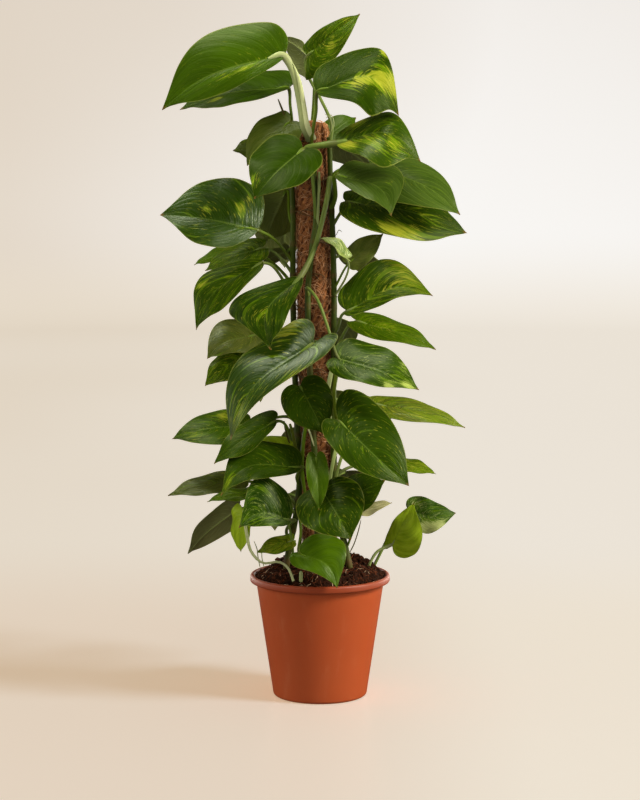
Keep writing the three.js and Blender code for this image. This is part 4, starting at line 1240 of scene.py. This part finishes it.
LEAVES = [
    # the crown
    leaf_on("front", 756, "crown_left", knee=(285, 54, -50), tip=(162, 110, -62), width=86,
            face=(0.12, -0.92, 0.38), stalk=3.4, arch=0.06, sweep=-0.07, lop=-0.34, lobe=0.7,
            wedge=(0.4, 0), via=[(304, 127, -44), (300, 103, -44), (293, 72, -48)], lime=0.2,
            cream=0.04, girth=1.4, pale=0.4, sheath=(0.0, 0.72, 1.0),
            spots=[(0.25, 0.2, 0.08, 0.7), (0.4, 0.35, 0.07, 0.6)]),
    leaf_on("left", 724, "crown_left_under", knee=(290, 87, -8), tip=(180, 110, -28), width=76,
            face=(0.1, -0.55, 0.82), lop=-0.3, wedge=(0.45, 0), via=[(292, 125, -12), (290, 105, -10)],
            lime=0.1, cream=0.0, deep=0.1, spots=[(0.62, 0.3, 0.07, 1.2)]),
    leaf_on("back", 750, "crown_back", knee=(311, 58, 22), tip=(279, 37, 62), width=50,
            face=(0, 0.8, 0.5), lop=-0.5, lime=0.2),
    leaf_on("right", 748, "crown_top", knee=(308, 55, -6), tip=(360, 14, -20), width=46,
            face=(-0.15, -0.95, 0.25), fold=0.22, cup=0.2, lop=-0.3, lobe=0.2, wedge=(0, -0.3),
            lime=0.3, cream=0.28, spots=[(0.45, -0.4, 0.12, 0.6), (0.8, 0.3, 0.1, 0.4)]),
    leaf_on("front", 742, "crown_right", knee=(316, 91, -56), tip=(399, 116, -74), width=104,
            face=(0, -0.85, 0.55), arch=0.2, sweep=0.26, lop=0.05, lobe=0.7, wedge=(-0.05, 0.55),
            via=[(312, 136, -42), (316, 112, -48)], cream=0.05, deep=0.5, skin="matt",
            spots=[(0.3, -0.22, 0.08, 0.9), (0.48, -0.12, 0.1, 1.2), (0.66, 0.05, 0.1, 1.3),
                   (0.82, 0.25, 0.12, 1.3), (0.62, 0.78, 0.06, 1.0)]),
    # the shoulder, left
    leaf_on("left", 704, "shoulder_left_olive", knee=(290, 122, -28), tip=(247, 166, -36), width=62,
            face=(-0.3, -0.8, 0.5), sweep=-0.06, via=[(291, 152, -22), (291, 136, -26)], lime=0.35,
            cream=0, skin="olive"),
    leaf_on("left", 690, "shoulder_left_back", knee=(275, 148, 14), tip=(233, 151, 4), width=60,
            face=(-0.2, -0.6, 0.75), sweep=0.06, lime=0.4, cream=0.2, skin="olive"),
    leaf_on("front", 708, "shoulder_front", knee=(303, 149, -78), tip=(254, 199, -126), width=88,
            face=(-0.05, -0.75, 0.65), lop=-0.12, lime=0.12, cream=0.02, deep=0.6, skin="matt",
            girth=1.4, spots=[(0.8, -0.3, 0.08, 0.5)]),
    # the shoulder, right
    leaf_on("back", 728, "shoulder_right_back", knee=(327, 137, 36), tip=(356, 118, 52), width=50,
            face=(0.2, -0.5, 0.8), lime=0.3, cream=0),
    leaf_on("front", 722, "shoulder_right_upper", knee=(336, 143, -60), tip=(421, 162, -86), width=92,
            face=(0.05, -0.75, 0.68), stalk=2.8, arch=0.24, sweep=0.1, lop=-0.15, lobe=0.6,
            wedge=(0.1, 0.5), via=[(306, 150, -44), (318, 146, -56)], cream=0.18, deep=0.2, girth=1.8,
            spots=[(0.06, -0.2, 0.1, 1.2), (0.35, -0.3, 0.12, 0.5), (0.65, -0.3, 0.1, 0.7),
                   (0.08, 0.8, 0.12, 0.9)]),
    leaf_on("right", 664, "shoulder_right_middle", knee=(338, 175, -66), tip=(391, 216, -112), width=80,
            face=(0.15, -0.66, 0.74), sweep=0.2, lop=0.35, wedge=(0, 0.35), cream=0.03, ribs=2,
            skin="dusty", girth=1.4, spots=[(0.6, 0.3, 0.05, 0.5)]),
    leaf_on("right", 704, "shoulder_right_far", knee=(372, 167, -14), tip=(460, 215, -48), width=88,
            face=(0.15, -0.72, 0.68), sweep=0.05, lop=-0.08, cream=0.04, ribs=2.2, skin="dusty"),
    leaf_on("right", 640, "shoulder_right_low", knee=(345, 201, -2), tip=(467, 233, -10), width=98,
            face=(0.1, -0.34, 0.93), twist=48, lop=-0.1, lobe=0.3, reach=0.05, cream=0.2, deep=0.35,
            spots=[(0.42, -0.75, 0.12, 1.0), (0.6, -0.7, 0.1, 0.6), (0.7, -0.2, 0.15, 0.2)]),
    # the middle, left
    leaf_on("left", 590, "middle_left_big", knee=(258, 230, -64), tip=(160, 215, -80), width=104,
            face=(-0.05, -0.88, 0.46), lop=-0.28, lobe=0.4, wedge=(0.3, 0), cream=0.08, deep=0.3,
            ribs=1.2, skin="waxy",
            spots=[(0.2, -0.35, 0.06, 1.0), (0.14, -0.6, 0.05, 0.8), (0.55, -0.2, 0.05, 0.8),
                   (0.6, 0.3, 0.05, 0.5)]),
    leaf_on("left", 640, "middle_left_olive", knee=(286, 190, 14), tip=(266, 242, 0), width=82,
            face=(-0.2, 0.8, 0.5), lime=0.4, cream=0),
    leaf_on("left", 560, "middle_left_back", knee=(250, 252, 8), tip=(194, 265, 4), width=50,
            face=(-0.1, -0.4, 0.92), lime=0.5),
    leaf_on("left", 605, "middle_left_small", knee=(288, 250, 18), tip=(262, 264, 16), width=36,
            face=(-0.1, 0.6, 0.8), reach=0),
    leaf_on("left", 575, "middle_left_inner", knee=(262, 248, -22), tip=(205, 271, -18), width=48,
            face=(-0.1, -0.65, 0.75), cream=0.35),
    leaf_on("left", 545, "middle_left_outer", knee=(262, 262, -52), tip=(196, 330, -66), width=58,
            face=(-0.3, -0.82, 0.45), sweep=-0.12, lop=-0.1, wedge=(0.4, 0.35), cream=0.24, deep=0.3,
            spots=[(0.5, -0.7, 0.09, 0.8)]),
    leaf_on("right", 704, "middle_left_hanging", knee=(300, 277, -82), tip=(271, 350, -106), width=80,
            face=(-0.12, -0.88, 0.45), stalk=3.2, sweep=-0.22, lop=-0.3, wedge=(0.45, 0.6),
            via=[(328, 194, -40), (322, 222, -44), (314, 250, -54)], lime=0.0, deep=0.25, girth=1.15,
            pale=0.05, spots=[(0.6, -0.1, 0.14, 0.45), (0.2, 0.3, 0.1, 0.4)]),
    leaf_on("left", 480, "middle_left_dark", knee=(255, 335, -22), tip=(207, 359, -42), width=62,
            face=(-0.1, -0.75, 0.65), sweep=-0.1, lop=-0.2, cream=0.15, deep=0.1, skin="olive"),
    leaf_on("left", 450, "middle_left_low", knee=(247, 352, -18), tip=(205, 386, -36), width=50,
            face=(-0.2, -0.75, 0.6), cream=0.4, deep=0.15),
    leaf_on("front", 470, "middle_big", knee=(313, 343, -98), tip=(231, 440, -128), width=80,
            face=(-0.25, -0.75, 0.6), stalk=3, arch=0.09, sweep=-0.1, lop=-0.32, lobe=0.9,
            wedge=(-0.15, -0.08), cream=0.14, deep=0.45, ribs=1.6, skin="waxy",
            spots=[(0.06, -0.85, 0.16, 1.0), (0.8, 0.1, 0.14, 0.5), (0.4, 0.8, 0.1, 0.4)]),
    # the middle, right
    leaf_on("right", 545, "middle_right_young", knee=(347, 258, -46), tip=(320, 238, -62), width=24,
            face=(0.3, -0.6, 0.7), stalk=1.6, fold=0.7, lime=0.1, cream=0.8, skin="striped"),
    leaf_on("right", 556, "middle_right_small", knee=(350, 262, -30), tip=(383, 234, -22), width=34,
            face=(0.5, -0.6, 0.6), stalk=1.7, fold=0.3, lime=0.2, cream=0.05, skin="olive"),
    leaf_on("right", 494, "middle_right_round", knee=(347, 311, -66), tip=(433, 296, -92), width=70,
            face=(0.05, -0.82, 0.56), arch=0.08, sweep=0.14, lop=0.5, wedge=(0, 0.2), lime=0.1,
            cream=0.34, ribs=1.5, spots=[(0.75, 0.3, 0.22, 0.4), (0.12, 0.5, 0.12, -0.3)]),
    leaf_on("right", 468, "middle_right_lime", knee=(357, 321, -30), tip=(436, 350, -44), width=44,
            face=(0.1, -0.65, 0.75), lime=0.45, cream=0.3, spots=[(0.35, 0.1, 0.12, 0.5)]),
    leaf_on("front", 548, "middle_right_striped", knee=(337, 358, -76), tip=(419, 390, -112), width=66,
            face=(0.1, -0.8, 0.58), lop=0.2, lobe=0.8,
            via=[(307, 288, -48), (317, 299, -62), (328, 328, -72)], cream=0.2, deep=0.3,
            skin="flecked",
            spots=[(0.75, -0.2, 0.1, 0.3), (0.88, -0.1, 0.07, 1.4), (0.7, -0.6, 0.07, 1.2),
                   (0.75, 0.5, 0.07, 0.5)]),
    # the lower left
    leaf_on("left", 375, "lower_left_far", knee=(245, 425, -26), tip=(172, 439, -42), width=62,
            face=(-0.1, -0.68, 0.72), lime=0.1, cream=0.15,
            spots=[(0.25, -0.6, 0.12, 0.9), (0.7, 0.2, 0.1, 0.4)]),
    leaf_on("left", 335, "lower_left_narrow", knee=(275, 421, -60), tip=(214, 464, -88), width=44,
            face=(-0.2, -0.75, 0.6), lop=-0.1, wedge=(0.35, 0), deep=0.35),
    leaf_on("left", 290, "lower_left_big", knee=(300, 467, -80), tip=(221, 496, -110), width=64,
            face=(-0.05, -0.8, 0.58), sweep=-0.2, lop=-0.35, lobe=0.8, wedge=(0.3, 0), cream=0.08,
            deep=0.4, spots=[(0.85, 0.0, 0.09, 0.6)]),
    leaf_on("left", 325, "lower_left_lime", knee=(292, 448, -44), tip=(255, 440, -36), width=28,
            face=(0, -0.6, 0.8), lime=0.0, cream=0.4, skin="lime"),
    leaf_on("left", 262, "lower_left_long", knee=(240, 480, -18), tip=(168, 496, -34), width=40,
            face=(-0.1, -0.65, 0.76), cream=0.2, deep=0.2, skin="olive"),
    leaf_on("left", 250, "lower_left_thin", knee=(258, 492, -52), tip=(207, 502, -60), width=28,
            face=(-0.1, -0.5, 0.85), lime=0.4, cream=0.3),
    leaf_on("left", 232, "lower_left_drooping", knee=(238, 508, -20), tip=(188, 554, -34), width=52,
            face=(-0.5, 0.8, 0.35), lime=0.0, cream=0),
    leaf_on("left", 212, "lower_left_flecked", knee=(290, 520, -97), tip=(239, 528, -116), width=72,
            face=(-0.02, -0.92, 0.38), sweep=-0.2, lop=-0.5, wedge=(0.35, 0), lime=0, cream=0.26,
            deep=0.15, skin="flecked", spots=[(0.5, 0.3, 0.2, 0.12)]),
    dict(name="leaf_lower_left_hanging", root=(297, 606, -66), knee=(243, 510, -52),
         tip=(241, 552, -38), width=44, face=(-0.65, -0.6, 0.2), stalk=2.8,
         via=[(295, 588, -68), (288, 568, -68), (279, 562, -68), (263, 563, -68), (251, 552, -70),
              (246, 532, -68)], lime=0.1, skin="lime", girth=0.6, pale=0.65, sheath=(0.5, 0.86, 1.0)),
    leaf_on("left", 200, "foot_left_striped", knee=(292, 541, -60), tip=(257, 553, -56), width=32,
            face=(0, -0.6, 0.8), stalk=1.8, lime=0.3, cream=0.7),
    # the lower middle and right
    leaf_on("front", 415, "heart_dark", knee=(300, 386, -62), tip=(325, 434, -82), width=68,
            face=(-0.1, -0.9, 0.4), deep=0.35),
    leaf_on("right", 338, "heart_big", knee=(338, 420, -92), tip=(409, 486, -122), width=90,
            face=(0.15, -0.87, 0.45), sweep=-0.04, lop=0.25, wedge=(-0.15, 0), cream=0.12, deep=0.35,
            ribs=0.6),
    leaf_on("right", 395, "lower_right_pointed", knee=(375, 404, -30), tip=(465, 428, -48), width=40,
            face=(0.1, -0.65, 0.75), lime=0.4, cream=0.6, skin="olive"),
    leaf_on("right", 300, "lower_right_narrow", knee=(385, 462, -30), tip=(436, 474, -42), width=32,
            face=(0.1, -0.6, 0.8), lime=0.5, cream=0.6, spots=[(0.2, 0, 0.2, 0.6)]),
    leaf_on("right", 252, "lower_right_dark", knee=(345, 500, -60), tip=(385, 481, -70), width=54,
            face=(0.1, -0.85, 0.5), deep=0.2),
    leaf_on("front", 305, "folded_lime", knee=(316, 457, -96), tip=(319, 510, -120), width=30,
            face=(0.1, -0.9, 0.4), fold=0.45, lime=0.3, cream=0.06),
    leaf_on("front", 240, "heart_front", knee=(322, 490, -90), tip=(351, 540, -124), width=92,
            face=(0.05, -0.9, 0.42), cream=0.16, deep=0.5, ribs=0.6),
    leaf_on("front", 262, "foot_front", knee=(299, 553, -92), tip=(337, 588, -106), width=64,
            face=(0.15, -0.88, 0.42), sweep=0.18, lop=0.35, via=[(301, 510, -58), (301, 532, -68)],
            lime=0.2, cream=0.0, deep=0.12, skin="fresh"),
    # the shoot at the right of the pot, and a pale new leaf beside it
    dict(name="leaf_shoot_lime", root=(360, 590, -12), knee=(392, 545, -8), tip=(414, 503, -20),
         width=50, face=(-0.2, -0.9, 0.3), lop=-0.45, lobe=1.4, via=[(366, 573, -12), (377, 552, -10)],
         lime=0.2, cream=0.2, skin="lime", pale=0.2),
    dict(name="leaf_shoot_striped", root=(367, 588, 22), knee=(410, 511, 28), tip=(456, 513, 16),
         width=50, face=(0.1, -0.9, 0.42), sweep=-0.13,
         via=[(372, 571, 22), (380, 554, 24), (394, 528, 28)], lime=0.1, cream=0.3, skin="striped",
         spots=[(0.35, -0.75, 0.16, 1.6), (0.65, -0.6, 0.16, 1.6), (0.1, 0.5, 0.12, 0.5)]),
    leaf_on("right", 205, "new_pale", knee=(361, 512, -38), tip=(392, 503, -34), width=20,
            face=(0.1, -0.6, 0.8), stalk=1.6, lime=0, skin="straw"),
]

# %% The leaves on the far side
# Each row is the height of the stalk's foot, its bearing, the knee's reach, the length and width.
FAR_ROWS = [
    (716, 64, 74, 118, 80), (664, 126, 80, 124, 86), (618, 112, 84, 132, 92), (566, 48, 80, 112, 76),
    (520, 122, 82, 126, 84), (470, 80, 86, 134, 94), (418, 128, 78, 110, 74), (368, 54, 82, 122, 84),
    (318, 98, 84, 128, 88), (262, 62, 80, 112, 78), (232, 122, 78, 108, 74),
]
FAR_LEAVES = []
for i, (z, bearing, reach, length, width) in enumerate(FAR_ROWS):
    a = math.radians(bearing)
    FAR_LEAVES.append(dict(
        name=f"far_{i}", stem="stem_back", z=z, width=width, arch=0.12,
        knee_spot=pole_spot(z + 34, bearing, reach),
        tip_spot=pole_spot(z + 34 - length * 0.62, bearing + (9 if i % 2 else -9), reach + length * 0.78),
        face=(0.5 * math.cos(a), 0.5 * math.sin(a), 0.86),
        lime=(0.1, 0.35, 0.2)[i % 3], cream=(0.12, 0.3, 0.2, 0.4)[i % 4], deep=(0.2, 0.0, 0.3)[i % 3],
    ))


# %% A leaf from its row
def unit(v):
    return np.asarray(v, float) / np.linalg.norm(v)


def settle(leaf, number):
    """Works out the leaf's own directions from its knee, its tip and the way it faces."""
    leaf = {**HABIT, "phase": number * 1.7, **leaf}
    leaf["knee_spot"] = leaf["knee_spot"] if "knee_spot" in leaf else seen(leaf["knee"])
    tip = leaf["tip_spot"] if "tip_spot" in leaf else seen(leaf["tip"])
    leaf["length"] = float(np.linalg.norm(tip - leaf["knee_spot"]))
    leaf["along"] = unit(tip - leaf["knee_spot"])
    face = np.array(leaf["face"], float)
    leaf["top"] = unit(face - leaf["along"] * face.dot(leaf["along"]))
    leaf["side"] = np.cross(leaf["top"], leaf["along"])
    leaf["root_spot"] = stem_spot(leaf["stem"], leaf["z"]) if "stem" in leaf else seen(leaf["root"])
    leaf["out"] = unit(leaf["root_spot"] - np.array([pole_x(leaf["root_spot"][2]), 0, leaf["root_spot"][2]]))
    return leaf


def make_leaf(leaf, number):
    """A leaf's blade and stalk as one piece."""
    leaf = settle(leaf, number)
    return join(leaf["name"], [make_blade(leaf, number), *make_stalk(leaf)])


# %% Grow them
grown = {}
for number, row in enumerate(LEAVES + FAR_LEAVES):
    piece = make_leaf(row, number)
    grown[row["name"]] = piece
    if row in LEAVES:
        piece.name = row["name"] + "_blade"
        finish_piece(piece, row["name"], 75)
bpy.data.objects.remove(blade_master)
print(len(grown), "leaves,", sum(len(p.data.polygons) for p in grown.values()), "faces")

# %% [markdown]
# ## The stems
# A stem is a tube that swells a little at each joint and is browner there and near the soil. Thin
# roots leave the joints and cling to the coir. The stem at the back carries the far side's leaves.

# %% Stems with their joints and roots
STEM_ROWS, FIRST_JOINT, JOINT_STEP, FIRST_ROOT = 150, 185.0, 43.0, 250.0


def make_stem(name, rng):
    """The stem and its roots, two to each joint that isn't close to the soil."""
    share = np.linspace(0, 1, STEM_ROWS)
    line = smooth_line(STEM_LINES[name], share)
    radius = np.interp(share, [0, 1 / 3, 2 / 3, 1], [STEM_R + 0.4, STEM_R, STEM_R - 0.3, 3.6]) * 0.97
    joints = np.arange(FIRST_JOINT, line[-1, 2] - 10, JOINT_STEP) + rng.uniform(-7, 7)
    tone = np.zeros((STEM_ROWS, 4))
    for joint in joints:
        near = np.exp(-(((line[:, 2] - joint) / 3.2) ** 2))
        radius = radius + 0.45 * near
        tone[:, 0] += 0.5 * near
    tone[:, 0] = np.clip(tone[:, 0] + 0.5 * np.clip((210 - line[:, 2]) / 40, 0, 1), 0, 1)
    pieces = [tube(name, line, radius, 14, stem_green, tone)]
    for joint in joints[joints >= FIRST_ROOT]:
        pieces += [make_root(name, joint + rng.uniform(-4, 4), rng) for _ in range(2)]
    return pieces


def make_root(name, z, rng):
    """A thin root from a joint, round the pole and down, close to the coir."""
    start = stem_spot(name, z)
    bearing = math.atan2(start[1], start[0] - pole_x(z))
    way = rng.choice([-1, 1])
    long = rng.uniform(14, 34)
    t = np.linspace(0, 1, 9)
    a = bearing + way * t * long / POLE_R
    height = z - t * t * rng.uniform(2, 16) + 1.2 * np.sin(9 * t + z)
    out = POLE_R + 1.0 + 2.0 * (1 - t) ** 2 + 0.8 * np.sin(4 * t)
    line = np.stack([pole_x(height) + out * np.cos(a), out * np.sin(a), height], 1)
    return tube("root", line, np.linspace(1.2, 0.35, 9), 6, stem_green, (0.8, 0, 0, 0))


# %% [markdown]
# Between the stems, the real plant has old stalk bases, split sheaths, dry twigs and loose roots.
# Each one is a short tube through a few spots of the photograph, with its depth behind the pot's
# axis. The numbers before the spots are its radius, and how brown and how pale it is.

# %% Old stalks, sheaths, twigs and loose roots
OLD_GROWTH = {
    "stem_front": [
        ("grooved_sheath", 3.2, 0.0, 0.5,
         [(332, 368, -36), (328, 390, -42), (328, 410, -43), (332, 426, -38)]),
        ("brown_sheath", 3.0, 0.5, 0.0,
         [(338, 366, -30), (334, 390, -37), (335, 410, -37), (337, 424, -32)]),
        ("old_stalk_left", 2.3, 0.6, 0.0,
         [(290, 424, -32), (294, 440, -42), (299, 465, -44), (305, 495, -34)]),
        ("old_stalk_middle", 2.8, 0.15, 0.0,
         [(306, 424, -34), (303, 445, -42), (302, 470, -44), (306, 500, -36)]),
        ("pale_stub", 1.2, 0.0, 0.9, [(308, 428, -36), (311, 436, -42), (314, 446, -42)]),
        ("lime_stalk", 2.6, 0.0, 0.25,
         [(336, 448, -32), (333, 462, -40), (330, 480, -40), (331, 500, -32)]),
        ("olive_stalk", 2.2, 0.3, 0.1,
         [(344, 450, -26), (339, 465, -34), (335, 484, -36), (336, 502, -30)]),
        ("upper_stalk", 2.4, 0.0, 0.1,
         [(313, 168, -30), (313, 182, -38), (315, 205, -37), (316, 226, -28)]),
        ("upper_sheath", 2.0, 0.0, 0.35,
         [(319, 172, -28), (319, 190, -37), (318, 212, -36), (317, 232, -26)]),
        ("twig_left_low", 1.3, 0.9, 0.0,
         [(284, 421, -26), (287, 436, -36), (293, 452, -38), (297, 470, -30)]),
    ],
    "stem_right": [
        ("loop_root", 0.6, 0.0, 0.7,
         [(326, 118, -22), (331, 115, -24), (334, 124, -22), (331, 134, -20), (328, 137, -18)]),
        ("thin_root", 0.5, 0.0, 0.6,
         [(325, 114, -24), (330, 118, -27), (332, 128, -24), (328, 139, -20)]),
        ("side_root", 0.5, 0.8, 0.0,
         [(331, 238, -14), (336, 235, -16), (339, 230, -16), (342, 232, -17)]),
        ("side_twig", 0.8, 0.9, 0.0, [(330, 298, -16), (334, 296, -20), (338, 297, -22)]),
        ("dark_twig", 0.8, 0.9, 0.0,
         [(350, 552, -34), (354, 544, -32), (358, 532, -32), (361, 520, -33)]),
    ],
    "stem_left": [
        ("dry_bract", 1.5, 1.0, 0.0,
         [(290, 130, -18), (286, 119, -20), (282, 109, -20), (278, 99, -20)]),
        ("low_stalk", 1.7, 0.0, 0.1,
         [(288, 522, -60), (291, 535, -62), (293, 550, -54), (292, 560, -44)]),
        ("thin_stalk_1", 0.7, 0.3, 0.35,
         [(260, 567, -56), (258, 557, -56), (257, 549, -56), (254, 541, -54)]),
        ("thin_stalk_2", 0.6, 0.2, 0.35,
         [(264, 567, -54), (262, 558, -52), (262, 550, -50), (264, 543, -50)]),
        ("cut_stub", 2.6, 0.25, 0.35, [(301, 582, -76), (301, 577, -76), (301, 571, -76)]),
    ],
}


def old_growth(name):
    """The short tubes that belong to a stem."""
    pieces = []
    for label, thick, brown, pale, spots in OLD_GROWTH[name]:
        line = smooth_line([seen(spot) for spot in spots], np.linspace(0, 1, 14))
        taper = np.interp(np.linspace(0, 1, 14), [0, 0.12, 0.8, 1], [0.7, 1, 0.9, 0.45])
        tone = (0.45 - 0.45 * brown, pale, brown, 0)
        pieces.append(tube(label, line, thick * taper, 8, stalk_green, tone, (1, 0, 0), 0.25))
    return pieces


rng = np.random.default_rng(31)
for name in STEMS:
    pieces = make_stem(name, rng)
    if name == "stem_back":
        pieces += [grown[row["name"]] for row in FAR_LEAVES]
    else:
        pieces += old_growth(name)
    stem = join(name + "_growth", pieces)
    finish_piece(stem, name, 60)
    print(name, len(stem.data.polygons), "faces")

# %% [markdown]
# ## Finish
# The last cell brings the scene up to date.

# %% Bring the scene up to date
bpy.context.view_layer.update()
